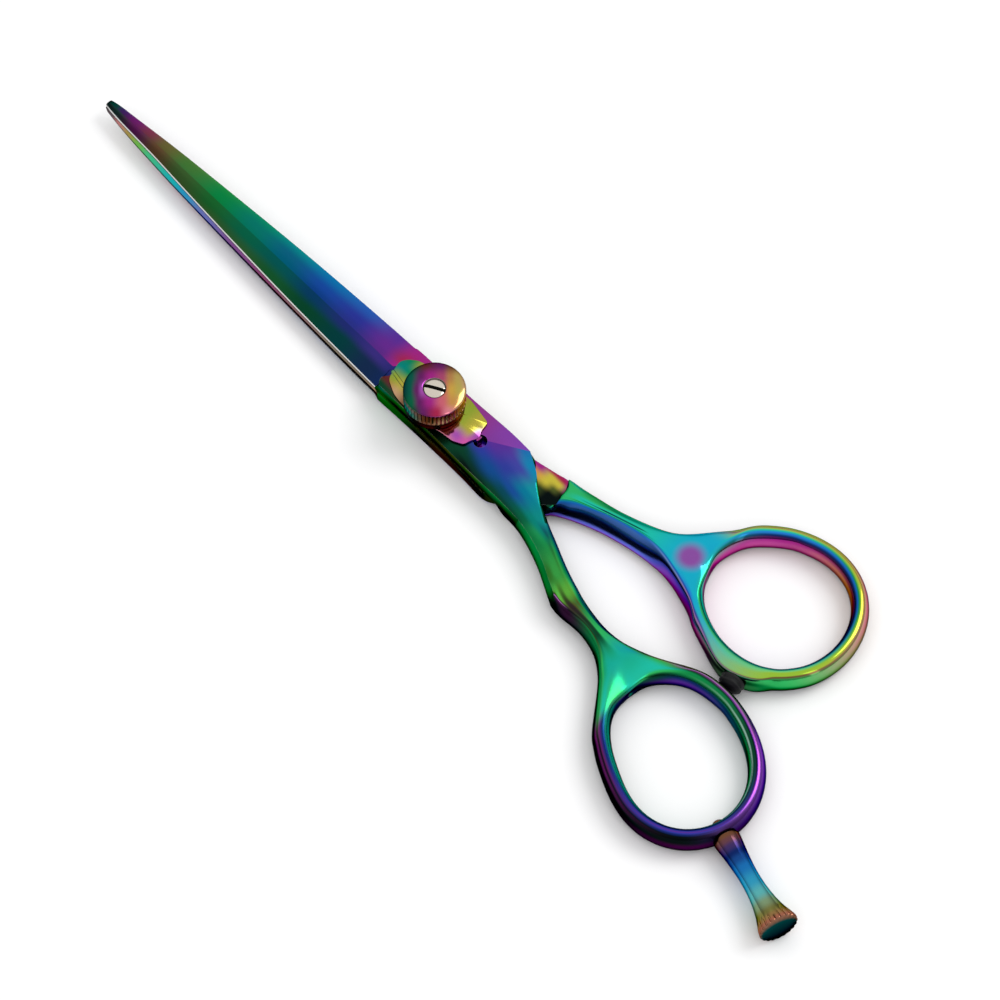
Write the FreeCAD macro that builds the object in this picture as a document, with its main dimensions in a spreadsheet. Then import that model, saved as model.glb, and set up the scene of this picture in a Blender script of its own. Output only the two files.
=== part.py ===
import FreeCAD, Part
# Thinning shears, 6.5 inch, offset of two crossed halves on a pivot bolt.
# Frame: origin on the pivot axis at the plane the closed shears lie on,
# +X from the pivot to the blade tips, +Z up along the pivot axis.
# The plain half is on top and runs to the finger ring on the +Y side;
# the toothed half is below it and runs to the thumb ring on the -Y side.
import os
import math
import Sketcher
from FreeCAD import Vector, Placement, Rotation

os.makedirs("parts", exist_ok=True)
doc = FreeCAD.newDocument("thinning_shears")

# ------------------------------------------------------------------ dimensions
sheet = doc.addObject("Spreadsheet::Sheet", "Dims")
DIMS = [
    ("overall_length", 165.1, "tip to the far side of the finger ring"),
    ("parting_z", 2.60, "plane between the two halves"),
    ("half_gap", 0.04, "distance of each half from the parting plane"),
    ("zone_top", 4.75, "top of the plain half at the pivot"),
    ("zone_bottom", 0.45, "underside of the toothed half at the pivot"),
    ("grip_top", 4.70, "top of handles and rings"),
    ("grip_round", 1.25, "edge rounding of handles and rings"),
    ("ring_halfwidth", 1.45, "half the radial width of a ring's section"),
    ("grip_centre", 2.35, "height of the middle of handles and rings"),
    ("blade_rise", 2.11, "blade thickness at the heel, one half"),
    ("tooth_pitch", 1.95, "spacing of the thinning teeth"),
    ("tooth_slot", 0.95, "width of the gap between two teeth"),
    ("tooth_count", 28, "number of teeth"),
    ("bolt_head_radius", 3.30, "bolt head under the toothed half"),
    ("bolt_head_top", 1.00, "height of the bolt head's upper face"),
    ("bolt_shank_radius", 2.30, "journal that runs in the bush"),
    ("bolt_flat_half", 1.90, "half the distance across the bolt's key flats"),
    ("bolt_stud_radius", 1.70, "threaded end, at its outside"),
    ("bolt_key_top", 4.60, "top of the keyed length"),
    ("bolt_end_z", 10.05, "edge of the bolt's visible end"),
    ("bolt_dome", 0.22, "crown on the bolt's visible end"),
    ("slot_width", 0.50, "screwdriver slot"),
    ("slot_depth", 0.70, "screwdriver slot"),
    ("run_gap", 0.03, "radial running clearance at the journal"),
    ("bush_radius", 2.85, "outside of the bush, a press fit in its half"),
    ("washer_seat_radius", 3.60, "recess and counterbore radius"),
    ("washer_radius", 3.50, "ride and head washers"),
    ("head_washer_thick", 0.20, "washer under the toothed half"),
    ("ride_washer_thick", 0.30, "washer between the halves"),
    ("plate_thick", 0.40, "tension plate"),
    ("plate_bore_radius", 1.80, "tension plate on the bolt's stud"),
    ("spring_inner", 1.95, "wave washer"),
    ("spring_outer", 3.60, "wave washer"),
    ("spring_thick", 0.35, "wave washer"),
    ("knob_radius", 4.95, "tension knob"),
    ("knob_bottom", 5.35, "underside of the knob"),
    ("knob_rim", 9.75, "top of the knob's side"),
    ("knob_top", 10.30, "top of the knob's crown"),
    ("knob_bore_radius", 1.75, "knob's thread, at its outside"),
    ("knob_recess_radius", 3.80, "room for the wave washer"),
    ("knob_recess_top", 5.56, "room for the wave washer"),
    ("knurl_low", 7.10, "lower edge of the knurled band"),
    ("knurl_count", 40, "grooves in the knurl"),
    ("tab_hole_radius", 1.13, "hole that the tension plate's tab drops into"),
    ("tab_hole_x", -9.60, "hole centre"),
    ("tab_hole_y", -0.89, "hole centre"),
    ("rest_stud_radius", 1.00, "finger rest's threaded stud"),
    ("rest_hole_radius", 1.04, "hole in the finger ring"),
    ("rest_collar_radius", 2.28, "finger rest next to the ring"),
    ("rest_neck_radius", 1.54, "finger rest's waist"),
    ("rest_flare_radius", 3.22, "finger rest's end"),
    ("rest_length", 17.20, "ring to the widest part of the finger rest"),
    ("rest_tilt", 3.0, "finger rest's rise, in degrees"),
    ("bumper_radius", 2.05, "rubber bumper"),
    ("bumper_height", 1.85, "bumper beyond its seat"),
    ("bumper_stem_radius", 0.90, "bumper's stem in the thumb ring"),
    ("bumper_stem_length", 1.80, "bumper's stem in the thumb ring"),
]
for row, (alias, value, note) in enumerate(DIMS, 1):
    sheet.set("A%d" % row, note)
    sheet.set("B%d" % row, repr(float(value)))
    sheet.setAlias("B%d" % row, alias)
doc.recompute()
D = {alias: float(sheet.get(alias)) for alias, _, _ in DIMS}
K = D["overall_length"] / 165.1  # plan tables below are for 165.1 mm


# ------------------------------------------------------------------ helpers
def plane(body, role):
    return [f for f in body.Origin.OriginFeatures if f.Role == role][0]


def new_body(name):
    body = doc.addObject("PartDesign::Body", name + "_body")
    body.Label = name
    return body


def sketch_on(body, name, role, offset=None):
    sk = body.newObject("Sketcher::SketchObject", name)
    sk.AttachmentSupport = (plane(body, role), [""])
    sk.MapMode = "FlatFace"
    if offset is not None:
        sk.AttachmentOffset = Placement(Vector(0, 0, 0), Rotation())
        sk.setExpression("AttachmentOffset.Base.z", offset)
    return sk


def value_of(expression):
    """Number of an expression made of sheet aliases, for a sketch's first guess."""
    return float(sum_of(expression))


def sum_of(expression):
    text = str(expression).replace("Dims.", "")
    total = 0.0
    # sums and differences of numbers, aliases and products of two of them
    for sign, term in split_terms(text):
        product = 1.0
        for factor in term.split("*"):
            factor = factor.strip()
            product *= D[factor] if factor in D else float(factor)
        total += sign * product
    return total


def split_terms(text):
    out, sign, term = [], 1.0, ""
    for i, ch in enumerate(text):
        if ch in "+-" and term.strip():
            out.append((sign, term))
            sign, term = (1.0 if ch == "+" else -1.0), ""
        elif ch == "-" and not term.strip():
            sign = -sign
        elif ch != "+" or term.strip():
            term += ch
    out.append((sign, term))
    return out


def closed_profile(sk, points):
    """Closed polygon whose corners are bound to the sheet. Each corner is (x expression, y expression)."""
    nums = [(value_of(x), value_of(y)) for x, y in points]
    count = len(points)
    for i in range(count):
        a, b = nums[i], nums[(i + 1) % count]
        sk.addGeometry(Part.LineSegment(Vector(a[0], a[1], 0), Vector(b[0], b[1], 0)), False)
    for i in range(count):
        sk.addConstraint(Sketcher.Constraint("Coincident", i, 2, (i + 1) % count, 1))
    for i, (x, y) in enumerate(points):
        for kind, expression, number, axis in (("DistanceX", x, nums[i][0], -2), ("DistanceY", y, nums[i][1], -1)):
            if abs(number) < 1e-9:
                sk.addConstraint(Sketcher.Constraint("PointOnObject", i, 1, axis))
            else:
                index = sk.addConstraint(Sketcher.Constraint(kind, -1, 1, i, 1, number))
                name = "%s%d" % (kind[-1].lower() + "p", i)
                sk.renameConstraint(index, name)
                text = str(expression)
                if "Dims." in text:
                    sk.setExpression("Constraints." + name, text)


def bound_circle(sk, x, y, radius):
    index = sk.addGeometry(Part.Circle(Vector(value_of(x), value_of(y), 0), Vector(0, 0, 1), value_of(radius)), False)
    for kind, expression, axis in (("DistanceX", x, -2), ("DistanceY", y, -1)):
        number = value_of(expression)
        if abs(number) < 1e-9:
            sk.addConstraint(Sketcher.Constraint("PointOnObject", index, 3, axis))
        else:
            c = sk.addConstraint(Sketcher.Constraint(kind, -1, 1, index, 3, number))
            sk.renameConstraint(c, "c%s%d" % (kind[-1].lower(), index))
            if "Dims." in str(expression):
                sk.setExpression("Constraints.c%s%d" % (kind[-1].lower(), index), str(expression))
    c = sk.addConstraint(Sketcher.Constraint("Radius", index, value_of(radius)))
    sk.renameConstraint(c, "rad%d" % index)
    if "Dims." in str(radius):
        sk.setExpression("Constraints.rad%d" % index, str(radius))
    return index


def revolve(body, name, points):
    """Revolution about the body's own Z axis of a profile in the XZ plane."""
    sk = sketch_on(body, name + "_profile", "XZ_Plane")
    closed_profile(sk, points)
    rev = body.newObject("PartDesign::Revolution", name)
    rev.Profile = sk
    rev.ReferenceAxis = (sk, ["V_Axis"])
    rev.Angle = 360.0
    return rev


def spline_edge(points, z):
    curve = Part.BSplineCurve()
    curve.interpolate([Vector(x * K, y * K, z) for x, y in points])
    return curve.toShape()


def poly_wire(points):
    return Part.makePolygon([Vector(*p) for p in points] + [Vector(*points[0])])


# ------------------------------------------------------------------ rings in plan
# centre, then the centreline's radius as a mean and its 2nd and 3rd harmonics
THUMB = ((-61.65, -15.36), 12.713, (0.493, 0.043), (0.232, 0.110))
FINGER = ((-70.40, 13.93), 12.935, (1.230, -1.278), (0.186, -0.054))


def ring_point(ring, degrees, offset):
    (cx, cy), mean, second, third = ring
    t = math.radians(degrees)
    r = (mean + second[0] * math.cos(2 * t) + second[1] * math.sin(2 * t)
         + third[0] * math.cos(3 * t) + third[1] * math.sin(3 * t))
    dr = (-2 * second[0] * math.sin(2 * t) + 2 * second[1] * math.cos(2 * t)
          - 3 * third[0] * math.sin(3 * t) + 3 * third[1] * math.cos(3 * t))
    # outward normal of the centreline
    nx = r * math.cos(t) + dr * math.sin(t)
    ny = r * math.sin(t) - dr * math.cos(t)
    n = math.hypot(nx, ny)
    return (cx + r * math.cos(t) + offset * nx / n, cy + r * math.sin(t) + offset * ny / n)


def ring_outline(ring, start, stop, step, offset):
    count = int(round(abs(stop - start) / step))
    return [ring_point(ring, start + (stop - start) * i / count, offset) for i in range(count + 1)]


def inset_chain(chain, amount):
    """Corner-true inset of a closed chain of runs; the last run is the straight neck and stays where it is."""
    directions = []
    for run in chain:
        d = []
        for i in range(len(run)):
            p, q = run[max(i - 1, 0)], run[min(i + 1, len(run) - 1)]
            n = math.hypot(q[0] - p[0], q[1] - p[1])
            d.append(((q[0] - p[0]) / n, (q[1] - p[1]) / n))
        directions.append(d)
    out = []
    last = len(chain) - 1
    for r, run in enumerate(chain):
        pts = []
        for i, (x, y) in enumerate(run):
            dx, dy = directions[r][i]
            normal = (dy, -dx)  # the chain runs clockwise, so this points inwards
            other = None
            if i == 0 and r > 0:
                other = directions[r - 1][-1]
            if i == len(run) - 1 and r < last:
                other = directions[r + 1][0]
            if i == 0 and r == 0:
                other = directions[last][-1]
            if i == len(run) - 1 and r == last:
                other = directions[0][0]
            if other is not None:
                neck = (r == last) or (r == 0 and i == 0) or (r == last - 1 and i == len(run) - 1)
                if not neck:
                    m = (other[1], -other[0])
                    k = 1.0 + normal[0] * m[0] + normal[1] * m[1]
                    k = max(k, 0.35)
                    normal = ((normal[0] + m[0]) / k, (normal[1] + m[1]) / k)
                elif r == last:
                    normal = (other[1], -other[0])
            pts.append((x + normal[0] * amount, y + normal[1] * amount))
        out.append(pts)
    return out


def level_wire(chain, amount, z):
    runs = inset_chain(chain, amount)
    edges = []
    for run in runs:
        if len(run) == 2:
            edges.append(Part.LineSegment(Vector(run[0][0] * K, run[0][1] * K, z), Vector(run[1][0] * K, run[1][1] * K, z)).toShape())
        else:
            edges.append(spline_edge(run, z))
    return Part.Wire(edges)


ROUND = [(0.0, 0.80), (0.25, 0.38), (0.80, 0.0)]  # share of the edge rounding: height, inset


def rounded_grip(chain, ring):
    """Handle and ring in one: plan outline and ring hole, both rounded over at top and bottom."""
    top, r = D["grip_top"], D["grip_round"]
    levels = [(z * r, i * r) for z, i in ROUND] + [(top - z * r, i * r) for z, i in reversed(ROUND)]
    outside = Part.makeLoft([level_wire(chain, inset, z) for z, inset in levels], True, True)
    holes = []
    for z, inset in [(-1.0, levels[0][1])] + levels + [(top + 1.0, levels[-1][1])]:
        curve = Part.BSplineCurve()
        pts = [ring_point(ring, a, -D["ring_halfwidth"] + inset) for a in range(0, 360, 15)]
        curve.interpolate([Vector(x * K, y * K, z) for x, y in pts], PeriodicFlag=True)
        holes.append(Part.Wire([curve.toShape()]))
    hole = Part.makeLoft(holes, True, True)
    return outside.cut(hole)


# ------------------------------------------------------------------ plan tables, mm
# blade stations: x, spine y, cutting edge y, thickness as a share of the heel's
BLADE = [
    (78.60, -0.72, -0.38, 0.46),
    (77.70, -1.10, -0.08, 0.52),
    (73.80, -1.53, 0.20, 0.62),
    (65.10, -2.30, 0.88, 0.72),
    (56.30, -3.00, 1.70, 0.80),
    (47.20, -3.50, 2.55, 0.87),
    (38.40, -4.08, 2.85, 0.92),
    (27.80, -4.50, 3.25, 0.96),
    (17.30, -4.85, 3.47, 1.00),
    (8.60, -5.05, 3.60, 1.00),
]

# plain half's plate around the pivot, from the heel round the +Y side and back
TOP_ZONE = [(8.90, -5.04), (8.90, 3.60), (8.50, 4.02), (4.0, 4.05), (-4.0, 4.08), (-10.0, 4.12), (-15.0, 4.25),
            (-20.6, 4.30), (-23.5, 4.55), (-25.6, 4.95), (-27.6, 5.60), (-27.9, 0.95), (-25.5, 0.10), (-23.7, -0.70),
            (-22.4, -1.45), (-20.9, -2.45), (-19.5, -3.55), (-18.2, -4.55), (-17.2, -5.10), (-16.2, -5.50),
            (-14.5, -5.55), (-9.2, -5.40), (-3.5, -5.20), (3.0, -5.10)]

# toothed half's plate, from the heel round
LOW_ZONE = [(8.90, 3.88), (8.60, 4.05), (4.0, 4.05), (-4.0, 4.08), (-10.0, 4.15), (-14.8, 4.36), (-15.9, 4.22),
            (-17.0, 3.60), (-19.0, 2.40), (-22.0, 0.60), (-24.9, -1.10), (-27.0, -2.25), (-27.2, -7.45),
            (-25.6, -7.25), (-23.6, -6.95), (-21.9, -6.45), (-20.0, -6.0), (-17.5, -5.55), (-14.0, -5.35),
            (-9.0, -5.20), (3.0, -5.05), (8.90, -4.40)]

# plain half's handle on its -Y side, from the neck to the finger ring
FRONT_RIGHT = [(-22.6, -1.30), (-25.5, 0.10), (-27.4, 0.95), (-29.3, 1.75), (-31.9, 2.87), (-34.7, 4.03), (-37.7, 5.08),
               (-40.3, 5.90), (-42.7, 6.42), (-44.7, 6.72), (-46.4, 6.88), (-48.2, 6.90), (-49.8, 6.76), (-51.6, 6.42),
               (-53.3, 5.90), (-55.0, 5.24), (-56.8, 4.50), (-58.6, 3.58)]
# and on its +Y side, from the finger ring back to the little step
FRONT_LEFT_A = [(-54.2, 16.1), (-52.3, 14.1), (-50.9, 12.7), (-49.1, 11.45), (-47.2, 10.80), (-45.3, 10.45), (-43.2, 10.24),
                (-41.6, 10.28), (-40.0, 10.42), (-38.8, 10.42), (-37.7, 10.26)]
FRONT_LEFT_B = [(-37.7, 10.26), (-36.8, 9.95), (-35.0, 8.92), (-32.5, 7.68), (-30.2, 6.65), (-28.2, 5.88),
                (-26.6, 5.34), (-24.2, 4.80)]

# toothed half's handle on its -Y side and on its +Y side
BACK_UPPER = [(-23.8, -6.98), (-25.6, -7.27), (-27.6, -7.58), (-29.4, -7.96), (-31.3, -8.38), (-33.1, -8.80),
              (-34.8, -9.30), (-36.5, -9.88), (-38.1, -10.50), (-39.6, -11.20), (-41.1, -12.0), (-42.4, -12.92),
              (-43.5, -13.98), (-44.5, -15.20), (-45.4, -16.55), (-46.25, -18.05)]
BACK_LOWER = [(-62.0, -1.50), (-60.1, -1.72), (-58.0, -2.36), (-55.5, -3.45), (-53.6, -4.30), (-51.8, -5.02), (-50.0, -5.66),
              (-47.0, -6.38), (-44.5, -6.62), (-42.2, -6.64), (-40.2, -6.44), (-38.2, -6.14), (-36.4, -5.76),
              (-34.6, -5.30), (-32.8, -4.80), (-31.1, -4.22), (-29.6, -3.60), (-28.0, -2.86), (-26.6, -2.12),
              (-25.1, -1.22)]


def blade_sections(mirror):
    """Blade as ruled panels: flat inside face, spine wall, ridge, lower flank and edge bevel."""
    zp = D["parting_z"]
    wires = []
    for x, spine, edge, share in BLADE:
        rise = D["blade_rise"] * share
        if mirror:
            spine, edge = edge + 0.30, spine + 0.60 if spine < -1.2 else spine + 0.25
        width = edge - spine
        lift = [0.0, 0.80 * rise, rise, 0.93 * rise, 0.26 * rise, 0.06]
        across = [0.0, 0.02, 0.14, 0.55, 0.93, 1.0]
        g = D["half_gap"]
        pts = [(x * K, (spine + width * a) * K, zp + (g + l if not mirror else -g - l)) for a, l in zip(across, lift)]
        pts.append((x * K, edge * K, zp + (g if not mirror else -g)))
        wires.append(poly_wire(pts))
    return Part.makeLoft(wires, True, True)


def plate_solid(points, z0, z1):
    wire = Part.makePolygon([Vector(x * K, y * K, z0) for x, y in points] + [Vector(points[0][0] * K, points[0][1] * K, z0)])
    face = Part.Face(wire)
    return face.extrude(Vector(0, 0, z1 - z0))


# ------------------------------------------------------------------ plain half with the finger ring
zp, g = D["parting_z"], D["half_gap"]
finger_arc = ring_outline(FINGER, -52, -338, 11, D["ring_halfwidth"])
front_grip = rounded_grip([FRONT_RIGHT + finger_arc + FRONT_LEFT_A, FRONT_LEFT_B, [FRONT_LEFT_B[-1], FRONT_RIGHT[0]]], FINGER)
# the grip is full depth only beyond the line where the toothed half passes under it
under = plate_solid([(-10, 9), (-10, -8), (-27.2, -8), (-27.0, -1.60), (-25.4, -0.40), (-22.2, 1.55), (-19.3, 3.35), (-17.8, 5.6), (-17, 9)],
                    -1.0, zp + g)
front_grip = front_grip.cut(under)
front = blade_sections(False).fuse([plate_solid(TOP_ZONE, zp + g, D["zone_top"]), front_grip])
front = front.removeSplitter()

# keyed hole for the bolt: a circle with two flats
def key_prism(radius, half_flat, z0, z1):
    cyl = Part.makeCylinder(radius, z1 - z0, Vector(0, 0, z0))
    box = Part.makeBox(4 * radius, 2 * half_flat, z1 - z0, Vector(-2 * radius, -half_flat, z0))
    return cyl.common(box)


front = front.cut(key_prism(D["bolt_shank_radius"] + 0.04, D["bolt_flat_half"] + 0.04, 2.0, 6.0))
front = front.cut(Part.makeCylinder(D["tab_hole_radius"], 6.0, Vector(D["tab_hole_x"], D["tab_hole_y"], 2.0)))

# finger rest axis: from the finger ring's centre out through its far wall
REST_PLAN = 163.4
rest_foot_plan = ring_point(FINGER, REST_PLAN, D["ring_halfwidth"] + 0.02)
ux, uy = math.cos(math.radians(REST_PLAN)), math.sin(math.radians(REST_PLAN))
tilt = math.radians(D["rest_tilt"])
rest_dir = Vector(ux * math.cos(tilt), uy * math.cos(tilt), math.sin(tilt))
rest_foot = Vector(rest_foot_plan[0] * K, rest_foot_plan[1] * K, D["grip_centre"])
front = front.cut(Part.makeCylinder(D["rest_hole_radius"], 5.0, rest_foot - rest_dir * 4.5, rest_dir))
front_half = doc.addObject("Part::Feature", "plain_half")
front_half.Shape = front
front_half.Label = "plain_half"
front_half.Placement = Placement()

# ------------------------------------------------------------------ toothed half with the thumb ring
thumb_arc = ring_outline(THUMB, -22, -261, 11, D["ring_halfwidth"])
back_grip = rounded_grip([BACK_UPPER + thumb_arc + BACK_LOWER, [BACK_LOWER[-1], BACK_UPPER[0]]], THUMB)
# its top is cut away where the plain half crosses over
over = plate_solid([(-10, 9), (-10, -9), (-23.6, -9), (-23.6, -6.9), (-24.6, -5.4), (-25.2, -3.9), (-25.0, -2.2), (-24.6, -0.9), (-26, 1.0), (-24, 9)],
                   zp - g, 9.0)
back_grip = back_grip.cut(over)
# seat for the rubber bumper on the side that faces the finger ring
seat_dir = 105.2
sx, sy = math.cos(math.radians(seat_dir)), math.sin(math.radians(seat_dir))
seat = Vector(-66.45 * K, -1.50 * K, D["grip_centre"])
boss = Part.makeBox(2.6, 6.2, 4.3, Vector(-2.6, -3.1, -2.15))
boss = boss.makeFillet(0.5, [e for e in boss.Edges if abs(e.BoundBox.XMin) < 1e-6 and abs(e.BoundBox.XMax) < 1e-6])
boss.Placement = Placement(seat, Rotation(Vector(0, 0, 1), seat_dir))
back = blade_sections(True).fuse([plate_solid(LOW_ZONE, D["zone_bottom"], zp - g), back_grip, boss])
back = back.removeSplitter()

# thinning teeth: round-bottomed gaps, and a small notch in the end of each tooth
cuts = []


def blade_at(x):
    """Edge and spine of the toothed half at x."""
    for (x1, s1, e1, _), (x0, s0, e0, _) in zip(BLADE[:-1], BLADE[1:]):
        if x0 <= x <= x1:
            t = (x - x0) / (x1 - x0)
            s, e = s0 + t * (s1 - s0), e0 + t * (e1 - e0)
            return s + (0.60 if s < -1.2 else 0.25), e + 0.30
    return -0.5, 0.5


first = 12.4
for i in range(int(D["tooth_count"]) + 1):
    x = first + i * D["tooth_pitch"]
    tip_y, spine_y = blade_at(x)
    depth = min(4.7, spine_y - tip_y - 1.45 - D["tooth_slot"] / 2)
    r = D["tooth_slot"] / 2
    bottom = tip_y + depth
    cuts.append(Part.makeBox(2 * r, depth + 4, 4, Vector(x - r, bottom - depth - 4, 0)))
    cuts.append(Part.makeCylinder(r, 4, Vector(x, bottom, 0)))
    if i < int(D["tooth_count"]):
        xm = x + D["tooth_pitch"] / 2
        ym = blade_at(xm)[0]
        w = 0.30
        notch = Part.Face(Part.makePolygon([Vector(xm - w, ym - 0.5, 0), Vector(xm + w, ym - 0.5, 0), Vector(xm + w * 0.6, ym + 0.0, 0),
                                            Vector(xm, ym + 0.28, 0), Vector(xm - w * 0.6, ym, 0), Vector(xm - w, ym - 0.5, 0)]))
        cuts.append(notch.extrude(Vector(0, 0, 4)))
scaled = Part.makeCompound(cuts)
if abs(K - 1.0) > 1e-9:
    m = FreeCAD.Matrix()
    m.scale(K, K, 1.0)
    scaled = scaled.transformGeometry(m)
back = back.cut(scaled)
back = back.cut([
    Part.makeCylinder(D["bush_radius"], 6.0, Vector(0, 0, -1.0)),
    Part.makeCylinder(D["washer_seat_radius"], 1.20 + 1.0, Vector(0, 0, -1.0)),
    Part.makeCylinder(D["washer_seat_radius"], 2.0, Vector(0, 0, D["parting_z"] + D["half_gap"] - D["ride_washer_thick"])),
    Part.makeCylinder(D["bumper_stem_radius"], D["bumper_stem_length"] + 1.0, seat + Vector(sx, sy, 0) * 1.0, Vector(-sx, -sy, 0)),
])
back_half = doc.addObject("Part::Feature", "toothed_half")
back_half.Shape = back
back_half.Label = "toothed_half"
back_half.Placement = Placement()

# ------------------------------------------------------------------ pivot bolt
bolt = new_body("pivot_bolt")
revolve(bolt, "bolt_turned", [
    ("0", "0"), ("Dims.bolt_head_radius - 0.25", "0"), ("Dims.bolt_head_radius", "0.25"),
    ("Dims.bolt_head_radius", "Dims.bolt_head_top"), ("Dims.bolt_shank_radius", "Dims.bolt_head_top"),
    ("Dims.bolt_shank_radius", "Dims.bolt_key_top"), ("Dims.bolt_stud_radius", "Dims.bolt_key_top"),
    ("Dims.bolt_stud_radius", "Dims.bolt_end_z - 0.12"), ("Dims.bolt_stud_radius - 0.16", "Dims.bolt_end_z"),
    ("0.9", "Dims.bolt_end_z + 0.8*Dims.bolt_dome"), ("0", "Dims.bolt_end_z + Dims.bolt_dome")])
doc.recompute()
flat_sk = sketch_on(bolt, "key_flats", "XY_Plane", "Dims.parting_z + Dims.half_gap")
closed_profile(flat_sk, [("-4", "Dims.bolt_flat_half"), ("4", "Dims.bolt_flat_half"), ("4", "3"), ("-4", "3")])
flat = bolt.newObject("PartDesign::Pocket", "key_flat_a")
flat.Profile = flat_sk
flat.setExpression("Length", "Dims.bolt_key_top - Dims.parting_z - Dims.half_gap")
flat.Reversed = True
doc.recompute()
flat_sk2 = sketch_on(bolt, "key_flats_b", "XY_Plane", "Dims.parting_z + Dims.half_gap")
closed_profile(flat_sk2, [("-4", "-Dims.bolt_flat_half"), ("-4", "-3"), ("4", "-3"), ("4", "-Dims.bolt_flat_half")])
flat2 = bolt.newObject("PartDesign::Pocket", "key_flat_b")
flat2.Profile = flat_sk2
flat2.setExpression("Length", "Dims.bolt_key_top - Dims.parting_z - Dims.half_gap")
flat2.Reversed = True
doc.recompute()
slot_sk = sketch_on(bolt, "driver_slot_sketch", "XY_Plane", "Dims.bolt_end_z + 1")
closed_profile(slot_sk, [("-3", "-0.5*Dims.slot_width"), ("3", "-0.5*Dims.slot_width"), ("3", "0.5*Dims.slot_width"), ("-3", "0.5*Dims.slot_width")])
slot_sk.AttachmentOffset = Placement(Vector(0, 0, D["bolt_end_z"] + 1), Rotation(Vector(0, 0, 1), 28))
slot_sk.setExpression("AttachmentOffset.Base.z", "Dims.bolt_end_z + 1")
driver = bolt.newObject("PartDesign::Pocket", "driver_slot")
driver.Profile = slot_sk
driver.setExpression("Length", "Dims.slot_depth + 1")
doc.recompute()

# ------------------------------------------------------------------ bush and washers
def washer(label, outer, inner, thick, z):
    o = doc.addObject("Part::Cylinder", label + "_outer")
    o.setExpression("Radius", outer)
    o.setExpression("Height", thick)
    i = doc.addObject("Part::Cylinder", label + "_inner")
    i.setExpression("Radius", inner)
    i.setExpression("Height", thick)
    c = doc.addObject("Part::Cut", label)
    c.Base, c.Tool = o, i
    c.Label = label
    c.setExpression("Placement.Base.z", z)
    return c


bush = washer("pivot_bush", "Dims.bush_radius", "Dims.bolt_shank_radius + Dims.run_gap",
              "Dims.parting_z + Dims.half_gap - Dims.ride_washer_thick - 1.20", "1.20")
head_washer = washer("head_washer", "Dims.washer_radius", "Dims.bolt_shank_radius + Dims.run_gap + 0.05",
                     "Dims.head_washer_thick", "Dims.bolt_head_top")
ride_washer = washer("ride_washer", "Dims.washer_radius", "Dims.bolt_shank_radius + Dims.run_gap + 0.05",
                     "Dims.ride_washer_thick", "Dims.parting_z + Dims.half_gap - Dims.ride_washer_thick")
wave_washer = washer("wave_washer", "Dims.spring_outer", "Dims.spring_inner", "Dims.spring_thick",
                     "Dims.zone_top + Dims.plate_thick")

# ------------------------------------------------------------------ tension plate, pressed from sheet, with a tab down into the plain half
tension = new_body("tension_plate")
PLATE = [(9.00, -2.45), (9.55, -1.36), (9.32, -0.28), (8.96, 0.68), (8.59, 1.76), (8.09, 2.33), (7.19, 2.78),
         (5.98, 3.35), (4.44, 3.62), (1.5, 3.70), (-2.0, 3.25), (-4.30, 2.72), (-6.68, 2.48), (-8.45, 1.55), (-8.62, 0.40),
         (-9.10, -0.55), (-9.10, -1.25), (-8.48, -2.14), (-8.09, -3.90), (-3.40, -4.70), (1.0, -4.70), (5.0, -4.30), (7.6, -3.60)]
pl_sk = sketch_on(tension, "plate_outline", "XY_Plane", "Dims.zone_top")
closed_profile(pl_sk, [(str(x), str(y)) for x, y in PLATE])
bound_circle(pl_sk, "0", "0", "Dims.plate_bore_radius")
pad = tension.newObject("PartDesign::Pad", "plate_sheet")
pad.Profile = pl_sk
pad.setExpression("Length", "Dims.plate_thick")
doc.recompute()
tab_sk = sketch_on(tension, "tab_outline", "XY_Plane", "Dims.zone_top")
closed_profile(tab_sk, [("-8.95", "-1.40"), ("-8.95", "-0.40"), ("-9.35", "-0.40"), ("-9.35", "-1.40")])
tab = tension.newObject("PartDesign::Pad", "tab_down")
tab.Profile = tab_sk
tab.Length = 1.3
tab.Reversed = True
doc.recompute()
rib_sk = sketch_on(tension, "rib_outline", "XY_Plane", "Dims.zone_top + Dims.plate_thick")
closed_profile(rib_sk, [("5.55", "1.02"), ("8.80", "0.42"), ("8.92", "1.10"), ("5.68", "1.70")])
rib = tension.newObject("PartDesign::Pad", "pressed_rib")
rib.Profile = rib_sk
rib.Length = 0.25
doc.recompute()

# ------------------------------------------------------------------ tension knob
knob = new_body("tension_knob")
revolve(knob, "knob_turned", [
    ("Dims.knob_bore_radius", "Dims.knob_recess_top"), ("Dims.knob_recess_radius", "Dims.knob_recess_top"),
    ("Dims.knob_recess_radius", "Dims.knob_bottom"), ("Dims.knob_radius - 0.35", "Dims.knob_bottom"),
    ("Dims.knob_radius - 0.10", "Dims.knob_bottom + 0.30"), ("Dims.knob_radius - 0.10", "Dims.knurl_low - 0.15"),
    ("Dims.knob_radius", "Dims.knurl_low"), ("Dims.knob_radius", "Dims.knob_rim"),
    ("Dims.knob_radius - 0.30", "Dims.knob_rim + 0.22"), ("3.2", "Dims.knob_top - 0.10"),
    ("2.1", "Dims.knob_top"), ("Dims.knob_bore_radius", "Dims.knob_top - 0.12")])
doc.recompute()
groove_sk = sketch_on(knob, "knurl_groove_sketch", "XY_Plane", "Dims.knurl_low + 0.15")
closed_profile(groove_sk, [("Dims.knob_radius - 0.22", "0"), ("Dims.knob_radius + 0.2", "0.34"), ("Dims.knob_radius + 0.2", "-0.34")])
groove = knob.newObject("PartDesign::Pocket", "knurl_groove")
groove.Profile = groove_sk
groove.setExpression("Length", "Dims.knob_rim - Dims.knurl_low - 0.30")
groove.Reversed = True
doc.recompute()
polar = knob.newObject("PartDesign::PolarPattern", "knurl")
polar.Originals = [groove]
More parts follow.
